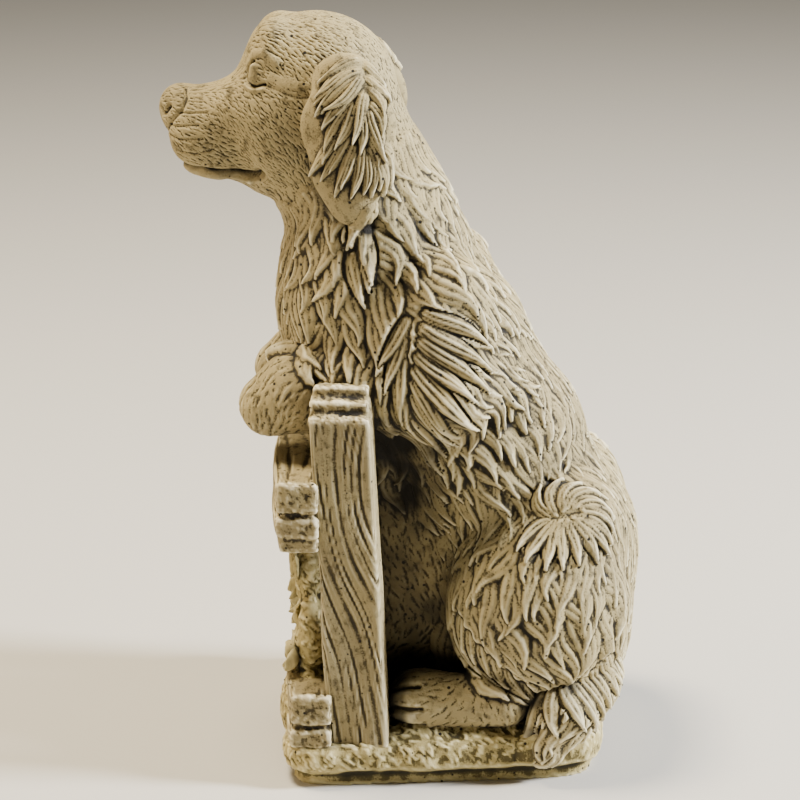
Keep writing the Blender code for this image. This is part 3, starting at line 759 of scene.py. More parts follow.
def lay_on(points, normals, locks, profile, rng):
    tree = kdtree.KDTree(len(points))
    for index, place in enumerate(points):
        tree.insert(place, index)
    tree.balance()
    coat = np.zeros(len(points))
    for line, up, (length, width, height) in zip(*locks):
        middle = line[len(line) // 2]
        reach = lengths(line - middle).max() + width / 2.0
        near = np.array([index for _, index, _ in tree.find_range(middle, reach)])
        tilt = LOCK_TILT * rng.uniform(0.3, 1.0) * rng.choice((-1.0, 1.0))
        if not len(near):
            continue
        axis = line[1:] - line[:-1]
        offset = points[near][:, None, :] - line[None, :-1, :]
        share = np.clip((offset * axis).sum(axis=2) / (axis ** 2).sum(axis=1), 0.0, 1.0)
        apart = offset - share[:, :, None] * axis
        distance = lengths(apart)
        best = distance.argmin(axis=1)
        each = np.arange(len(near))
        along = (best + share[each, best]) / len(axis)
        side = np.sign((np.cross(up[best], axis[best]) * apart[each, best]).sum(axis=1))
        across = side * distance[each, best] / np.maximum(width / 2.0 * lock_outline(along), 1e-6)
        facing = (normals[near] * up[best]).sum(axis=1) > 0.2
        inside = (np.abs(across) < 1.0) & facing
        stand = np.where(inside, height * profile(across, along, tilt), 0.0)
        coat[near] = np.maximum(coat[near], stand)
    return coat


# %% [markdown]
# Eyes, nostrils, mouth, whisker rows and toes are lines cut into the stone. Each is a chain of points
# with a width and a depth, and a negative depth stands for something raised, such as an eyelid or the
# ball of the eye. The chains are drawn on the side view and then laid on the skin like the hair.

# %% Lines cut into the stone
# Points, width, depth; each is cut on both sides
CUT_LINES = (
    (((0, -203, 428), (14, -191, 425), (20, -178, 421), (22, -164, 417), (24, -152, 414)), 2.6, 6.5),
    (((8, -194, 418), (15, -184, 416), (20, -172, 411), (23, -160, 407), (26, -148, 405)), 3.4, -3.2),
    (((23, -160, 413), (26, -150, 411), (29, -141, 413), (31, -135, 418)), 4.0, 7.5),
    (
        ((30, -134, 500), (30, -138, 496), (30, -139, 490), (30, -137, 485), (30, -131, 483),
         (30, -124, 483)), 1.5, 3.4,
    ),
    (((30, -134, 500), (30, -129, 498), (30, -127, 492)), 1.0, 1.0),
    (((30, -133, 495), (30, -133, 489)), 3.6, -2.5),
    (((30, -141, 499), (30, -136, 507), (30, -128, 507), (30, -120, 500)), 3.4, -1.1),
    (((30, -140, 481), (30, -132, 477), (30, -124, 477)), 2.2, -1.2),
    (((32, -124, 482), (36, -112, 477), (40, -104, 476), (44, -96, 478)), 1.8, 1.1),
    (((32, -120, 488), (36, -108, 484), (42, -98, 485)), 5.0, -0.6),
    (((8, -213, 462), (10, -211, 458), (12, -207, 459), (12, -203, 463)), 2.2, 4.0),
    (((8, -193, 476), (13, -191, 468), (14, -192, 458), (13, -198, 448), (8, -206, 445)), 1.6, 1.8),
    (((0, -214, 458), (0, -213, 450), (0, -209, 440)), 1.3, 1.0),
    (((18, -204, 451), (20, -194, 449), (22, -180, 450)), 1.1, 1.1),
    (((18, -203, 443), (20, -192, 441), (22, -177, 442)), 1.1, 1.1),
    (((18, -197, 460), (20, -186, 458), (22, -173, 459)), 1.1, 1.1),
    (((20, -192, 434), (22, -182, 433), (24, -170, 436)), 1.1, 1.0),
    (((72, -44, 20), (74, -34, 40), (78, -10, 46)), 2.4, 3.4),
    (((86, -44, 20), (92, -34, 32), (96, -12, 36)), 2.4, 3.4),
    (((90, -42, 12), (98, -32, 20), (102, -10, 22)), 2.4, 3.4),
    (((90, -38, 2), (98, -28, 8), (102, -8, 8)), 2.4, 3.0),
    (((66, -30, 30), (78, -22, 40)), 5.0, -1.6),
    (((90, -34, 28), (96, -20, 30)), 5.0, -1.8),
    (((92, -32, 14), (100, -18, 15)), 5.0, -1.8),
    (((43, -150, 225), (43, -153, 242), (44, -138, 262)), 2.6, 3.5),
    (((57, -150, 225), (57, -153, 242), (56, -138, 262)), 2.6, 3.5),
)
LINE_STEP = 0.5
LINE_REACH = 3.0


def drawn_on_skin(line):
    """The chain in small steps, each landed on the skin."""
    steps = []
    for start, end in zip(line[:-1], line[1:]):
        start, end = np.array(start, float), np.array(end, float)
        count = max(2, int(np.abs(end - start).sum() / LINE_STEP))
        steps += [start + (end - start) * share for share in np.linspace(0.0, 1.0, count)]
    return drop_to_skin(np.array(steps), passes=6)


def cut_depth(points):
    depth, left = np.zeros(len(points)), on_left(points)
    for line, width, deepest in CUT_LINES:
        steps = drawn_on_skin(line)
        low, high = steps.min(axis=0) - LINE_REACH * width, steps.max(axis=0) + LINE_REACH * width
        near = np.flatnonzero(((left > low) & (left < high)).all(axis=1))
        apart = ((left[near][:, None, :] - steps[None]) ** 2).sum(axis=2).min(axis=1)
        depth[near] += deepest * np.exp(-apart / width ** 2)
    return depth


# %% Carve the coat
# Length, width and depth of a stroke
STROKE_FACE = (6.5, 1.6, 0.75)
STROKE_BODY = (12.0, 3.4, 0.7)
THROAT_HEIGHT = 405

rng = np.random.default_rng(SEED)
points, normals = places_of(figure), normals_of(figure)
share = long_coat(points)
off_ear = np.clip(group_distance(on_left(points), EARS, (), EAR_BLEND) / 2.0, 0.0, 1.0)
fine = (points[:, 2] > THROAT_HEIGHT) & (share < 0.6) & (off_ear > 0.9)
rough = (points[:, 2] < THROAT_HEIGHT) & (share < 0.5)
hair = loose_locks(points[(share > 0.15) & (off_ear > 0.5)][::3], rng)
fans = fanned_locks(rng)
print(len(hair[0]), "loose locks and", len(fans[0]), "in fans")
fanned = lay_on(points, normals, fans, hair_profile, rng)
loose = lay_on(points, normals, hair, hair_profile, rng) * off_ear
# A fan presses the loose locks under it flat
coat = np.maximum(loose * np.clip(1.0 - fanned / 2.0, 0.12, 1.0), fanned)
face_strokes = short_strokes(points[fine][::3], *STROKE_FACE, rng)
body_strokes = short_strokes(points[rough][::2], *STROKE_BODY, rng)
print(len(face_strokes[0]), "strokes on the face and", len(body_strokes[0]), "on limbs and belly")
strokes = np.maximum(
    lay_on(points, normals, face_strokes, stroke_profile, rng),
    lay_on(points, normals, body_strokes, stroke_profile, rng),
)
cuts = cut_depth(points)
# No stroke crosses a lock or a cut line
relief = coat - strokes * (coat < 0.5) * (np.abs(cuts) < 0.4) - cuts
move_to(figure, points + normals * relief[:, None])

# %% [markdown]
# ## The fence: split and weathered timber
#
# The mould maker carved two posts and two rails like riven oak, with long flowing grain, broken tops
# and splintered ends. Each timber is a bevelled block with smaller blocks joined to its ends as ledges.
# A voxel remesh makes them one skin, and the grain is cut into it as grooves that wander, fade and meet.

# %% A block of timber
FENCE_VOXEL = 1.55
POST_HEIGHT = 272
POST_WIDTH = 36
POST_DEPTH = 46
POST_X = 100
POST_Y = -57
POST_LEAN = 2.9
RAIL_HALF_SPAN = 124
RAIL_HEIGHT = 56
RAIL_THICKNESS = 26
RAIL_MIDDLES = (178, 10)
# The grain's spacing, depth and half width, and how far it strays over what length
GRAIN_SPACING = 7.2
GRAIN_CUT = 2.2
GROOVE_HALF = 1.5
GRAIN_BEND, BEND_LENGTH = 5.0, 16.0
GRAIN_STRAY, STRAY_LENGTH = 4.0, 13.0


def add_block(low, high, bevel):
    """A block between two corners in millimetres above the grass, with its edges bevelled."""
    low, high = Vector(low), Vector(high)
    bpy.ops.mesh.primitive_cube_add(size=1.0, location=metres((low + high) / 2), scale=(high - low) * MM)
    block = place_applied(bpy.context.object)
    edit(block)
    bpy.ops.mesh.bevel(offset=bevel * MM, segments=2, affect="EDGES")
    return close(block)


def one_skin(pieces, name, voxel):
    """Pieces joined and remeshed into one closed skin, with no pocket inside."""
    return keep_outer_skin(remeshed(joined(pieces, name), voxel))


def turned_outward(piece):
    edit(piece)
    bpy.ops.mesh.normals_make_consistent(inside=False)
    return close(piece)


def grain_depth(across, along, sweep, spacing, shift):
    """How deep the grain is cut: lines of uneven spacing that sweep, fade out and come back."""
    still = np.full(len(across), shift)
    bend = noise_at(np.stack([across * 0.5, along * 0.22, still], axis=1), BEND_LENGTH, shift)
    flow = across - sweep + GRAIN_BEND * bend
    stray = noise_at(np.stack([flow, still, still], axis=1), STRAY_LENGTH, shift)
    phase = (flow + GRAIN_STRAY * stray) / spacing
    away = np.abs(phase - np.round(phase)) * spacing
    which = np.stack([np.round(phase) * 17.0, along * 0.5, still], axis=1)
    strength = np.clip(0.85 + 0.8 * noise_at(which, 15.0, shift), 0.4, 1.3)
    return strength * np.exp(-((away / GROOVE_HALF) ** 2)) - 0.25 * np.cos(math.tau * phase)


# %% [markdown]
# The posts lean a little towards the front, and their tops have broken off in three ledges that fall
# outwards. The grain runs up the post. One sheared coordinate, across plus a part of the depth, carries
# the lines over the corners without a seam.

# %% The posts
POST_SWEEP = 22.0
POST_SWEEP_LENGTH = 220.0
POST_SWELL = 2.6
# A post's ledges: how far inside at the front, outer side and back, bottom, drop from the top, bevel
POST_LEDGES = (
    (0, 0, 0, -6, 17, 4.0),
    (1, 11, 1, 150, 8, 2.0),
    (3, 23, 2, 150, 0, 2.0),
)


def roughened(piece, chosen, size, height):
    """Broken porous stone: bumps of one size with pits of about half that size."""
    places = places_of(piece)
    pits = np.clip(noise_at(places, size * 0.55, 3.0) - 0.15, 0.0, 1.0)
    bumps = noise_at(places, size * 1.6) + 0.5 * noise_at(places, size * 0.4, 9.0) - 1.2 * pits
    move_to(piece, places + normals_of(piece) * (chosen * bumps * height)[:, None])


def make_post(name, side):
    inner, outer = POST_X - POST_WIDTH / 2, POST_X + POST_WIDTH / 2
    front, back = POST_Y - POST_DEPTH / 2, POST_Y + POST_DEPTH / 2
    blocks = [
        add_block((inner, front + ahead, bottom), (outer - beside, back - behind, POST_HEIGHT - drop), bevel)
        for ahead, beside, behind, bottom, drop, bevel in POST_LEDGES
    ]
    post = one_skin(blocks, name, FENCE_VOXEL)
    places, facing = places_of(post), normals_of(post)
    sweep = POST_SWEEP * np.cos(math.pi * places[:, 2] / POST_SWEEP_LENGTH)
    sheared = places[:, 1] + 0.9 * places[:, 0]
    depth = grain_depth(sheared, places[:, 2], sweep, GRAIN_SPACING, 2.0 + side)
    sides = np.clip(1.0 - np.abs(facing[:, 2]) * 1.4, 0.0, 1.0)
    swell = POST_SWELL * noise_at(places * (1.0, 1.0, 0.45), 34.0, 5.0)
    top = np.clip((places[:, 2] - POST_HEIGHT + 28) / 10, 0.0, 1.0)
    move_to(post, places + facing * (swell - GRAIN_CUT * depth * sides * (1.0 - 0.9 * top))[:, None])
    roughened(post, top * (1.0 - 0.4 * sides), 6.0, 1.2)
    places = places_of(post)
    lean = np.tan(math.radians(POST_LEAN))
    places[:, 1] -= lean * (places[:, 2] + 4)
    move_to(post, places)
    if side < 0:
        bpy.ops.transform.resize(value=(-1.0, 1.0, 1.0), center_override=(0.0, 0.0, 0.0))
        turned_outward(place_applied(post))
    return post


near_post = make_post("fence_post_left", 1)
far_post = make_post("fence_post_right", -1)
print("posts:", triangles(near_post), "and", triangles(far_post), "triangles")

# %% [markdown]
# A rail is split in layers, so its broken ends show two or three ledges with a dark gap between them.
# The layers are blocks of slightly different length, the ends alone are roughened, and the rail bows
# forward between the posts.

# %% The rails
RAIL_BOW = 13.0
RAIL_STAND = 6.0
RAIL_SUNK = 4
RAIL_BEVEL = 3.0
# A rail's layers: how far inside at the right end, front, left end and back, and their bottom and top
# below the rail's top
RAIL_LAYERS = (
    (0, 1, 1, 0, 24, 0),
    (3, 0, 0, 0, 43, 27),
    (5, 3, 4, 0, 56, 41),
    (7, 6, 7, 1, 52, 6),
)


def post_front(above):
    """Where the leaning posts' front is at a height."""
    return POST_Y - above * math.sin(math.radians(POST_LEAN)) - POST_DEPTH / 2


def make_rail(name, middle):
    front = post_front(middle) - RAIL_THICKNESS + RAIL_SUNK - RAIL_STAND
    back = front + RAIL_THICKNESS + RAIL_STAND
    half, high = RAIL_HALF_SPAN, middle + RAIL_HEIGHT / 2
    blocks = []
    for right, ahead, left, behind, bottom, top in RAIL_LAYERS:
        corner = (right - half, front + ahead, high - bottom)
        blocks.append(add_block(corner, (half - left, back - behind, high - top), RAIL_BEVEL))
    rail = one_skin(blocks, name, FENCE_VOXEL)
    places, facing = places_of(rail), normals_of(rail)
    sweep = 5.0 * np.sin(places[:, 0] / 38.0)
    sheared = places[:, 2] + 0.9 * places[:, 1]
    depth = grain_depth(sheared, places[:, 0], sweep, GRAIN_SPACING, 7.0 + middle / 50)
    sides = np.clip(1.0 - np.abs(facing[:, 0]) * 1.4, 0.0, 1.0)
    move_to(rail, places - facing * (GRAIN_CUT * depth * sides)[:, None])
    end = np.clip((np.abs(places[:, 0]) - half + 12) / 8, 0.0, 1.0)
    roughened(rail, end, 7.0, 1.1)
    places = places_of(rail)
    from_back = np.clip((back - places[:, 1]) / RAIL_THICKNESS, 0.0, 1.0)
    places[:, 1] -= RAIL_BOW * (1.0 - (places[:, 0] / half) ** 2) * from_back
    move_to(rail, places)
    return rail


upper_rail, lower_rail = (
    make_rail(name, middle) for name, middle in zip(("fence_rail_upper", "fence_rail_lower"), RAIL_MIDDLES)
)
fence = (near_post, far_post, upper_rail, lower_rail)
print("rails:", triangles(upper_rail), "and", triangles(lower_rail), "triangles")

# %% [markdown]
# ## The slab of grass
#
# The slab is a shallow block with rounded corners, a little narrower at the back, standing on a thinner
# foot. It starts as a circle that is pushed out to that outline, and is then extruded and resized ring
# by ring. Tufts of grass are short strokes that point every way on top and hang over the edge.

# %% Extrude the slab ring by ring
BASE_LENGTH = 246
BASE_FRONT = 266
BASE_BACK = 196
BASE_MIDDLE = 5
BASE_SQUARENESS = 9
BASE_VOXEL = 2.1
BASE_SIDES = 96
RING_STEP = 0.01
# Height from the underside and how far inside the outline, in millimetres
BASE_RINGS = ((0, 8), (10, 8), (12, 3), (15, 0.5), (22, 0), (30, 1), (34, 5), (36, 16), (36.5, 60))


def outline(turn, inset):
    across, along = math.cos(turn), math.sin(turn)
    reach = (abs(across) ** BASE_SQUARENESS + abs(along) ** BASE_SQUARENESS) ** (1.0 / BASE_SQUARENESS)
    across, along = across / reach, along / reach
    toward_back = (along + 1.0) / 2.0
    half = (BASE_FRONT * (1.0 - toward_back) + BASE_BACK * toward_back) / 2.0
    return across * (half - inset), along * (BASE_LENGTH / 2.0 - inset) + BASE_MIDDLE


bpy.ops.object.select_all(action="DESELECT")
bpy.ops.mesh.primitive_circle_add(vertices=BASE_SIDES, radius=0.1, fill_type="NGON")
slab = named(bpy.context.object, "grass_slab")
edit(slab)
for _ in BASE_RINGS[1:]:
    bpy.ops.mesh.extrude_region_move(TRANSFORM_OT_translate={"value": (0.0, 0.0, RING_STEP)})
close(slab)
for vertex in slab.data.vertices:
    height, inset = BASE_RINGS[round(vertex.co.z / RING_STEP)]
    x, y = outline(math.atan2(vertex.co.y, vertex.co.x), inset)
    vertex.co = (x * MM, y * MM, height * MM)
keep_outer_skin(remeshed(slab, BASE_VOXEL))
print("slab:", triangles(slab), "triangles")

# %% Tufts of grass on the slab
# Length, width and height of a tuft, the turf's two sizes of lumps, and its climb up the dog
TUFT = (10.0, 3.2, 1.3)
LUMP_HEIGHT, LUMP_SIZE = 3.8, 26.0
CLOD_HEIGHT, CLOD_SIZE = 1.4, 9.0
TURF_CLIMB, CLIMB_FADE = 9.0, 13.0


def landing_on(piece):
    """A function that lands points on a finished mesh, instead of on the dog's skin."""
    tree = bvhtree.BVHTree.FromObject(piece, bpy.context.evaluated_depsgraph_get())

    def land(points):
        hits = [tree.find_nearest(metres(point)) for point in points]
        return above_grass(np.array([hit[0] for hit in hits])), np.array([hit[1] for hit in hits])

    return land


def tufts(piece, chosen, size, droop, rng):
    length, width, height = size
    points = places_of(piece)[chosen]
    roots = pick_roots(points, np.full(len(points), math.sqrt(length * width) * 0.72), rng)
    swing = rng.uniform(0.0, math.tau, len(roots))
    curl = rng.uniform(-1.2, 1.2, len(roots))

    def steer(place, normals, share):
        turn = swing + curl * share
        return np.stack([np.cos(turn), np.sin(turn), np.full(len(turn), -droop)], axis=1)

    sizes = np.array([[length, width, height]]) * rng.uniform(0.6, 1.3, (len(roots), 1))
    return *follow(points[roots], sizes[:, 0], steer, landing_on(piece), steps=4), sizes


places, facing = places_of(slab), normals_of(slab)
upper = np.clip((places[:, 2] + 24) / 8, 0.0, 1.0)
lumps = LUMP_HEIGHT * noise_at(places, LUMP_SIZE) + CLOD_HEIGHT * noise_at(places, CLOD_SIZE, 2.0) - 1.6
move_to(slab, places + facing * (lumps * np.maximum(upper, 0.4 * (places[:, 2] > -34)))[:, None])
# The turf climbs a little where it meets the dog
places = places_of(slab)
climb = TURF_CLIMB * np.exp(-np.clip(skin_distance(places), 0.0, 80.0) / CLIMB_FADE) * (upper > 0.99)
move_to(slab, places + climb[:, None] * (0.0, 0.0, 1.0))
places, facing = places_of(slab), normals_of(slab)
blades = tufts(slab, upper > 0.5, TUFT, 0.8, rng)
grass = lay_on(places, facing, blades, hair_profile, rng)
places = places + facing * (grass * upper)[:, None]
# The underside stays flat, so that the statue stands
flat = places[:, 2] < -GRASS / MM + 1.0
places[flat, 2] = -GRASS / MM
move_to(slab, places)
print(len(blades[0]), "tufts on the slab")

# %% [markdown]
# ## The rose on the fence
#
# Low plants and a rose grow against the front of the fence. A bank of leaves fills the space between
# the rails, and blooms, buds and leaves stand out of it. The bank is a few eggs run together and cut
# with short broad strokes, and the flowers are made of petals.

# %% The bank of leaves
# Masses: place across, height, then half the width, height and depth
BANK = (
    (58, 8, 46, 40, 29),
    (-34, 10, 50, 32, 24),
    (66, 64, 22, 36, 13),
    (56, 112, 14, 32, 12),
    (0, 44, 32, 30, 16),
    (-60, 62, 24, 46, 14),
)
# Place across, height and radius of a bloom, and place across, height and turn of a pair of leaves
BLOOMS = ((74, 52, 14), (50, 100, 10), (-6, 66, 17), (-54, 48, 13), (-60, 104, 11))
LEAVES = ((38, 52, 30), (60, 78, -35), (60, 128, 60), (-38, 82, 40), (-78, 74, -50))
ROSE_VOXEL = 1.9
LEAFLET = (10.0, 4.4, 1.3)


def rose_spot(x, above, stand):
    """A place on the fence's front, standing out of the middle of its rails."""
    return Vector((x, post_front(above) - RAIL_THICKNESS / 2 - stand, above))


eggs = [add_egg(rose_spot(x, above, 0), (wide, deep, high)) for x, above, wide, high, deep in BANK]
bank = remeshed(joined(eggs, "rose_bank"), ROSE_VOXEL)
places, facing = places_of(bank), normals_of(bank)
move_to(bank, places + facing * (1.5 * noise_at(places, 14.0) - 1.0)[:, None])
places, facing = places_of(bank), normals_of(bank)
leaflets = tufts(bank, places[:, 2] > -30, LEAFLET, 0.4, rng)
cover = lay_on(places, facing, leaflets, hair_profile, rng)
move_to(bank, places + facing * cover[:, None])
print(len(leaflets[0]), "leaflets;", triangles(bank), "triangles")

# %% [markdown]
# One petal is a small sphere that is flattened, cupped and thinned at its rim. It is copied round the
# bloom in rings that open outwards, each copy with its own mesh, as a rose unfolds.

# %% Petals and leaves


def copied(piece):
    twin = piece.copy()
    twin.data = piece.data.copy()
    bpy.context.scene.collection.objects.link(twin)
    return twin


def add_ball(segments, rings):
    bpy.ops.object.select_all(action="DESELECT")
    bpy.ops.mesh.primitive_uv_sphere_add(segments=segments, ring_count=rings, radius=1.0)
    return bpy.context.object


def add_petal():
    petal = add_ball(10, 6)
    for vertex in petal.data.vertices:
        x, y, z = vertex.co
        cup = 0.35 * (x * x + z * z)
        vertex.co = (x * 0.62, y * 0.16 + cup, 0.5 + z * 0.55)
    return petal


def add_leaf():
    leaf = add_ball(20, 14)
    for vertex in leaf.data.vertices:
        x, y, z = vertex.co
        point = 1.0 - 0.45 * x * x
        rib = 0.10 * math.exp(-((z / 0.12) ** 2)) + 0.05 * math.cos(9.0 * (x + abs(z)))
        fold = (0.20 * abs(z) + rib) * (1.0 if y < 0 else 0.6)
        vertex.co = (x, y * 0.22 + fold - 0.06, z * point * 0.55)
    return leaf


# %% Set the blooms and leaves
# Each ring of a bloom: petals, tilt outwards in degrees, size as a share of the bloom
RINGS = ((5, 62, 1.0), (5, 40, 0.86), (4, 20, 0.66), (3, 4, 0.46))
BLOOM_GROWTH = 1.15
LEAF_LENGTH = 17


def make_bloom(x, above, radius, number):
    parts = []
    petal = add_petal()
    for ring, (count, tilt, size) in enumerate(RINGS):
        for step in range(count):
            twin = copied(petal)
            turn = Matrix.Rotation(math.tau * (step / count + 0.11 * ring + 0.07 * number), 4, "Z")
            uneven = math.sin(2.4 * step + 1.7 * ring + number)
            open_out = Matrix.Rotation(math.radians(tilt + 16.0 * uneven), 4, "X")
            twin.data.transform(turn @ Matrix.Translation((0.0, -0.10, 0.0)) @ open_out)
            twin.data.transform(Matrix.Scale(radius * size * (1.0 + 0.13 * uneven) * MM, 4))
            parts.append(twin)
    bpy.data.objects.remove(petal)
    bloom = joined(parts, "bloom")
    facing = Matrix.Rotation(math.radians(82.0), 4, "X")
    bloom.data.transform(Matrix.Translation(metres(rose_spot(x, above, 8))) @ facing)
    return bloom


flowers = [
    make_bloom(x, above, radius * BLOOM_GROWTH, number) for number, (x, above, radius) in enumerate(BLOOMS)
]
leaf = add_leaf()
for x, above, turn in LEAVES:
    for extra in (0, 1):
        twin = copied(leaf)
        spin = Matrix.Rotation(math.radians(turn + 55 * extra), 4, "Y")
        size = Matrix.Scale((LEAF_LENGTH - 4 * extra) * MM, 4)
        spot = rose_spot(x + 6 * extra, above - 9 * extra, 11 - 2 * extra)
        twin.data.transform(Matrix.Translation(metres(spot)) @ spin @ size)
        flowers.append(twin)
bpy.data.objects.remove(leaf)
roses = turned_outward(joined(flowers, "rose_flowers"))
with_modifier(roses, "SUBSURF", levels=1, render_levels=1)
print("flowers:", triangles(roses), "triangles")

# %% [markdown]
# ## Dirt, wear and painted shade
#
# Dirt and algae settle where the surface is hollow, and shade falls there too; rain and hands keep the
# ridges pale, and light catches them. The material paints all of it: hollows dark as dirt and painted shade,
# ridges pale as wear and a painted highlight.
# The mesh itself knows which is which: a vertex that lies below the mean of its surroundings is in a
# hollow. Two ranges are measured, one for a strand of hair and one for a whole lock, and are stored on
# the vertices for the material to read.

# %% Measure the hollows
NEAR_REACH = 5
FAR_REACH = 40


def store(piece, name, values):
    """Keep one value for each vertex, and print how the values are spread."""
    kept = piece.data.attributes.new(name, "FLOAT", "POINT")
    kept.data.foreach_set("value", values.astype(np.float32))
    print(piece.name, name, [round(float(value), 2) for value in np.percentile(values, (5, 50, 95))])


def measure_hollows(piece):
    first, second = ends_of(piece)
    places, facing = places_of(piece), normals_of(piece)
    near = evened(places, first, second, NEAR_REACH)
    far = evened(near, first, second, FAR_REACH)
    for name, smooth in (("near_hollow", near), ("far_hollow", far)):
        store(piece, name, ((smooth - places) * facing).sum(axis=1))


ground = (slab, bank, roses)
carved = (figure, *fence, *ground)
for piece in carved:
    measure_hollows(piece)

# %% [markdown]
# Little of the sky reaches the belly, the back of the fence or the throat. The material paints such
# places dark, as painted shade for the light they don't get and as grime that rain never washes off. How
# occluded a spot is shows in how much of the sky it can see: rays are sent out from a thin sample of the
# vertices, and the others take the mean of the samples nearest to them.

# %% Measure the occlusion
SAMPLE_EVERY = 41
SKY_RAYS = 28
RAY_START = 0.003
RAY_LENGTH = 0.16
NEAR_SAMPLES = 5
OCCLUSION_REACH = 6


def sky_ways(count):
    """Directions spread evenly over the upper half and a little below the horizon."""
    steps = np.arange(count) + 0.5
    height = 1.0 - 1.25 * steps / count
    turn = math.pi * (1.0 + math.sqrt(5.0)) * steps
    flat = np.sqrt(1.0 - height ** 2)
    return np.stack([flat * np.cos(turn), flat * np.sin(turn), height], axis=1)


trees = [bvhtree.BVHTree.FromObject(piece, bpy.context.evaluated_depsgraph_get()) for piece in carved]
ways = [Vector(way) for way in sky_ways(SKY_RAYS)]
spots, open_sky = [], []
for piece in carved:
    places, facing = places_of(piece), normals_of(piece)
    for index in range(0, len(places), SAMPLE_EVERY):
        up = Vector(facing[index])
        start = metres(places[index]) + up * RAY_START
        seen = [way for way in ways if way.dot(up) > 0.0]
        free = sum(not any(tree.ray_cast(start, way, RAY_LENGTH)[0] for tree in trees) for way in seen)
        spots.append(places[index])
        open_sky.append(free / max(len(seen), 1))
near_spots = kdtree.KDTree(len(spots))
for index, spot in enumerate(spots):
    near_spots.insert(spot, index)
near_spots.balance()
for piece in carved:
    occlusion = []
    for place in places_of(piece):
        found = near_spots.find_n(place, NEAR_SAMPLES)
        weights = [1.0 / (distance + 2.0) for _, _, distance in found]
        total = sum(weight * open_sky[index] for weight, (_, index, _) in zip(weights, found))
        occlusion.append(1.0 - min(total / sum(weights), 1.0))
    first, second = ends_of(piece)
    store(piece, "occlusion", evened(np.array(occlusion)[:, None], first, second, OCCLUSION_REACH)[:, 0])
print(len(spots), "samples of shelter")

# %% [markdown]
# ## Cutting the figure into pieces
#
# Smooth places don't need the small faces that the carving needed, so a Decimate modifier merges them
# first. The figure still has too many triangles for one piece, so it is cut by level planes like a
# cake, each share with as many faces, and each cut is filled. Its surface normals are kept from the
# whole figure, so that no seam shows in the shading.

# %% Thin the figure and cut it at level planes
FIGURE_TRIANGLES = 645000
PIECE_NAMES = ("dog_haunches", "dog_flanks", "dog_shoulders", "dog_neck", "dog_head")


def kept_in_box(piece):
    """No point stands outside the box of the solid model."""
    held = np.clip(places_of(piece) * MM + LIFT, *np.array(cad_box))
    move_to(piece, (held - LIFT) / MM)


def cut_piece(whole, name, low, high):
    piece = copied(whole)
    edit(piece)
    for height, way in ((low, -1.0), (high, 1.0)):
        bpy.ops.mesh.select_all(action="SELECT")
        bpy.ops.mesh.bisect(
            plane_co=metres((0, 0, height)), plane_no=(0.0, 0.0, way), use_fill=False, clear_outer=True,
        )
    # Each open loop gets its own cap, so no skin stretches from an ear across to the head
    bpy.ops.mesh.select_all(action="SELECT")
    bpy.ops.mesh.fill_holes(sides=0)
    named(close(piece), name)
    kept = piece.data.attributes["whole_normal"]
    smooth = unit(read(kept.data, "vector"))
    bpy.ops.object.shade_smooth()
    piece.data.normals_split_custom_set_from_vertices(smooth)
    piece.data.attributes.remove(piece.data.attributes["whole_normal"])
    return piece


with_modifier(figure, "DECIMATE", ratio=FIGURE_TRIANGLES / triangles(figure))
print("thinned figure:", triangles(figure), "triangles")
kept_in_box(figure)
normal_store = figure.data.attributes.new("whole_normal", "FLOAT_VECTOR", "POINT")
normal_store.data.foreach_set("vector", normals_of(figure).astype(np.float32).ravel())
levels = np.quantile(face_centres(figure)[:, 2], np.linspace(0.0, 1.0, len(PIECE_NAMES) + 1))
levels[0] -= 50.0
levels[-1] += 50.0
dog = [cut_piece(figure, *row) for row in zip(PIECE_NAMES, levels[:-1], levels[1:])]
bpy.data.objects.remove(figure)
for piece in dog:
    print(piece.name, triangles(piece), "triangles")

# %% [markdown]
# ## The stone
#
# Reconstituted stone is crushed limestone and cement tamped into a mould. It is dry and dull, cream to
# grey, with small air holes left by the casting. The hollows are painted olive black, partly as grime and
# partly as painted shade, and the ridges pale, partly as wear and partly as a painted highlight.

# %% Colours and a helper for nodes


def linear(code):
    """An sRGB hex colour as Blender's linear red, green, blue and alpha."""
    shares = [int(code[start:start + 2], 16) / 255.0 for start in (1, 3, 5)]
    return (*[c / 12.92 if c <= 0.04045 else ((c + 0.055) / 1.055) ** 2.4 for c in shares], 1.0)


def node(tree, kind, settings=None, **sockets):
    """Add one node with its settings, and give its sockets a value or a link."""
    made = tree.nodes.new(kind)
    for name, value in (settings or {}).items():
        setattr(made, name, value)
    for name, value in sockets.items():
        socket = made.inputs[int(name[1:])] if name[1:].isdigit() else made.inputs[name.replace("_", " ")]
        if isinstance(value, bpy.types.NodeSocket):
            tree.links.new(value, socket)
        else:
            socket.default_value = value
    return made


def shares(tree, low, high, value):
    """0 where the value is low, 1 where it is high, and straight between."""
    made = node(tree, "ShaderNodeMapRange", {"clamp": True}, Value=value, From_Min=low, From_Max=high)
    return made.outputs["Result"]


def mixed(tree, share, first, second):
    return node(tree, "ShaderNodeMix", {"data_type": "RGBA"}, _0=share, _6=first, _7=second).outputs[2]


def times_plus(tree, value, factor, more):
    made = node(tree, "ShaderNodeMath", {"operation": "MULTIPLY_ADD"}, _0=value, _1=factor, _2=more)
    return made.outputs[0]


# %% The weathered cast stone
HOLE_SHADE_COLOUR = "#14110A"
BUMP_HEIGHT = 0.0008


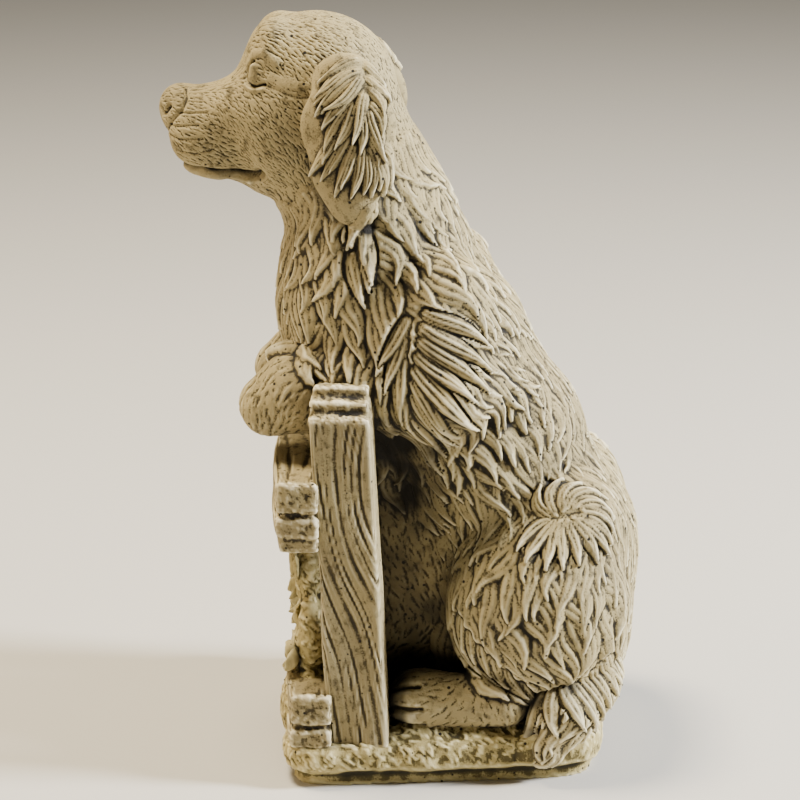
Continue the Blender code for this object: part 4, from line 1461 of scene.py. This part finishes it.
def cast_stone(name, dust, ridge, body, grime_and_shade, black, first_occlusion):
    material = bpy.data.materials.new(name)
    material.use_nodes = True
    tree = material.node_tree
    shader = tree.nodes["Principled BSDF"]
    spot = node(tree, "ShaderNodeTexCoord").outputs["Object"]
    near, far, occlusion = (
        node(tree, "ShaderNodeAttribute", {"attribute_name": kind}).outputs["Fac"]
        for kind in ("near_hollow", "far_hollow", "occlusion")
    )
    # Stains of 60 mm and mottling of 7 mm, from the way the mix was tamped, and grit of 1.4 mm
    stain = node(tree, "ShaderNodeTexNoise", Vector=spot, Scale=1000 / 60, Detail=4.0).outputs["Fac"]
    mottle = node(tree, "ShaderNodeTexNoise", Vector=spot, Scale=1000 / 7, Detail=6.0).outputs["Fac"]
    grit = node(tree, "ShaderNodeTexNoise", Vector=spot, Scale=1000 / 1.4, Detail=3.0).outputs["Fac"]
    # Air holes up to 2 mm across, some 8 mm apart, in two thirds of the cells
    cells = node(tree, "ShaderNodeTexVoronoi", Vector=spot, Scale=1000 / 8.0)
    pick = node(tree, "ShaderNodeSeparateColor", Color=cells.outputs["Color"]).outputs["Red"]
    hole = shares(tree, 0.20, 0.14, times_plus(tree, pick, 0.14, cells.outputs["Distance"]))
    skin = mixed(tree, shares(tree, 0.35, 0.65, stain), linear(body), linear(dust))
    skin = mixed(tree, shares(tree, 0.52, 0.80, mottle), skin, linear(grime_and_shade))
    # Ridges painted pale: wear, and a painted highlight along each ridge
    skin = mixed(tree, shares(tree, -0.12, -0.62, near), skin, linear(ridge))
    # Grime in the hollows, in specks rather than in a smooth band; in the small creases it is painted shade
    # as well
    grime_and_shade_mask = times_plus(tree, mottle, 0.5, times_plus(tree, grit, 0.8, near))
    skin = mixed(tree, shares(tree, 0.67, 0.88, grime_and_shade_mask), skin, linear(grime_and_shade))
    # Deep creases painted near black: grime, and painted shade where little light reaches in
    skin = mixed(tree, shares(tree, 0.22, 1.35, far), skin, linear(black))
    # Black where the sky can't be seen: painted shade standing in for ambient occlusion, together with algae
    skin = mixed(tree, shares(tree, first_occlusion, first_occlusion + 0.4, occlusion), skin, linear(black))
    # Air holes painted near black: painted shade inside each pit, which the bump alone doesn't cast
    skin = mixed(tree, hole, skin, linear(HOLE_SHADE_COLOUR))
    tree.links.new(skin, shader.inputs["Base Color"])
    shader.inputs["Roughness"].default_value = 0.8
    shader.inputs["IOR"].default_value = 1.5
    shader.inputs["Specular IOR Level"].default_value = 0.35
    rise = times_plus(tree, hole, -1.6, grit)
    bump = node(tree, "ShaderNodeBump", Strength=0.6, Distance=BUMP_HEIGHT, Height=rise)
    tree.links.new(bump.outputs["Normal"], shader.inputs["Normal"])
    return material


# Dust, ridges (pale from wear and a painted highlight), body, grime and painted shade, black for deep
# creases and occluded spots (painted shade with grime and algae), and how occluded a spot is where that
# black begins. The fence's value is over 1, so it stays free of that black
stone = cast_stone("cast_stone_grime_and_painted_shade", "#8F825D", "#CFC5A2", "#A09268", "#3E3620", "#141008", 0.36)
timber_stone = cast_stone("cast_stone_timber", "#857957", "#D5CBAA", "#93865F", "#433A22", "#17130A", 1.2)
slab_stone = cast_stone("cast_stone_mossy", "#978A5B", "#CDC192", "#A59662", "#574D2A", "#262210", 0.7)
print("materials:", stone.name, timber_stone.name, slab_stone.name)

# %% [markdown]
# ## Finish the pieces
#
# Each piece gets its stone and smooth shading. They all ride on the
# one body, because the statue doesn't move.

# %% Finish every piece
for piece in fence + ground:
    kept_in_box(piece)
    only(piece)
    bpy.ops.object.shade_smooth()
pieces = (*dog, *fence, *ground)
for piece in pieces:
    piece.data.materials.clear()
    piece.data.materials.append(slab_stone if piece in ground else timber_stone if piece in fence else stone)
    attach(piece, BODY)
    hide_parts(NODE)
print("in all", sum(triangles(piece) for piece in pieces), "triangles")

# %% [markdown]
# ## Floor, light and camera
#
# The statue stands on a plain pale floor. The key light is a cool window behind it and above, on the
# photograph's right, so the back edges of the posts are bright and the near faces are in soft shade. A
# warm light overhead and a weak warm one in front of the nose lift the shadows, and a dim pale sky fills
# in the rest.

# %% Floor and light
bpy.ops.object.select_all(action="DESELECT")
bpy.ops.mesh.primitive_plane_add(size=8.0, location=(0.0, 0.0, 0.0))
floor = named(bpy.context.object, "floor")
paint = bpy.data.materials.new("pale_floor")
paint.use_nodes = True
floor_shader = paint.node_tree.nodes["Principled BSDF"]
floor_shader.inputs["Base Color"].default_value = linear("#BDBAB2")
floor_shader.inputs["Roughness"].default_value = 0.8
floor.data.materials.append(paint)


LIT_SPOT = Vector((0.0, 0.0, 0.3))


def add_light(name, place, size, power, colour):
    """A round area light that points at the middle of the statue."""
    lamp = bpy.data.lights.new(name, "AREA")
    lamp.shape = "DISK"
    lamp.size = size
    lamp.energy = power
    lamp.color = linear(colour)[:3]
    light = bpy.data.objects.new(name, lamp)
    bpy.context.scene.collection.objects.link(light)
    light.location = place
    light.rotation_euler = (LIT_SPOT - Vector(place)).to_track_quat("-Z", "Y").to_euler()


add_light("window", (0.16, 2.6, 1.6), 0.6, 330.0, "#FBFCFF")
add_light("ceiling", (-0.1, -0.8, 2.8), 1.0, 190.0, "#FFEFD2")
add_light("front_fill", (0.5, -2.4, 0.9), 1.4, 40.0, "#FFE3B8")
world = bpy.data.worlds.new("studio")
bpy.context.scene.world = world
world.use_nodes = True
sky = world.node_tree.nodes["Background"]
sky.inputs["Color"].default_value = linear("#F1E9DA")
sky.inputs["Strength"].default_value = 0.08

# %% The camera
VIEW_AZIMUTH = 94.0
VIEW_ELEVATION = 17.0
FOCUS_PIXELS = 2700.0
FRAME_PIXELS = 800.0
LOOK_AT = Vector((0.0, -0.0335, 0.2704))
SIDE_REACH = 1.984

azimuth, elevation = math.radians(VIEW_AZIMUTH), math.radians(VIEW_ELEVATION)
back_way = Vector((
    math.sin(azimuth) * math.cos(elevation),
    -math.cos(azimuth) * math.cos(elevation),
    math.sin(elevation),
))
lens = bpy.data.cameras.new("camera")
lens.sensor_width = 36.0
lens.lens = lens.sensor_width * FOCUS_PIXELS / FRAME_PIXELS
lens.clip_end = 50.0
camera = bpy.data.objects.new("camera", lens)
bpy.context.scene.collection.objects.link(camera)
camera.location = LOOK_AT + back_way * SIDE_REACH / (math.cos(elevation) * math.sin(azimuth))
camera.rotation_mode = "QUATERNION"
camera.rotation_quaternion = (-back_way).to_track_quat("-Z", "Y")
bpy.context.scene.camera = camera
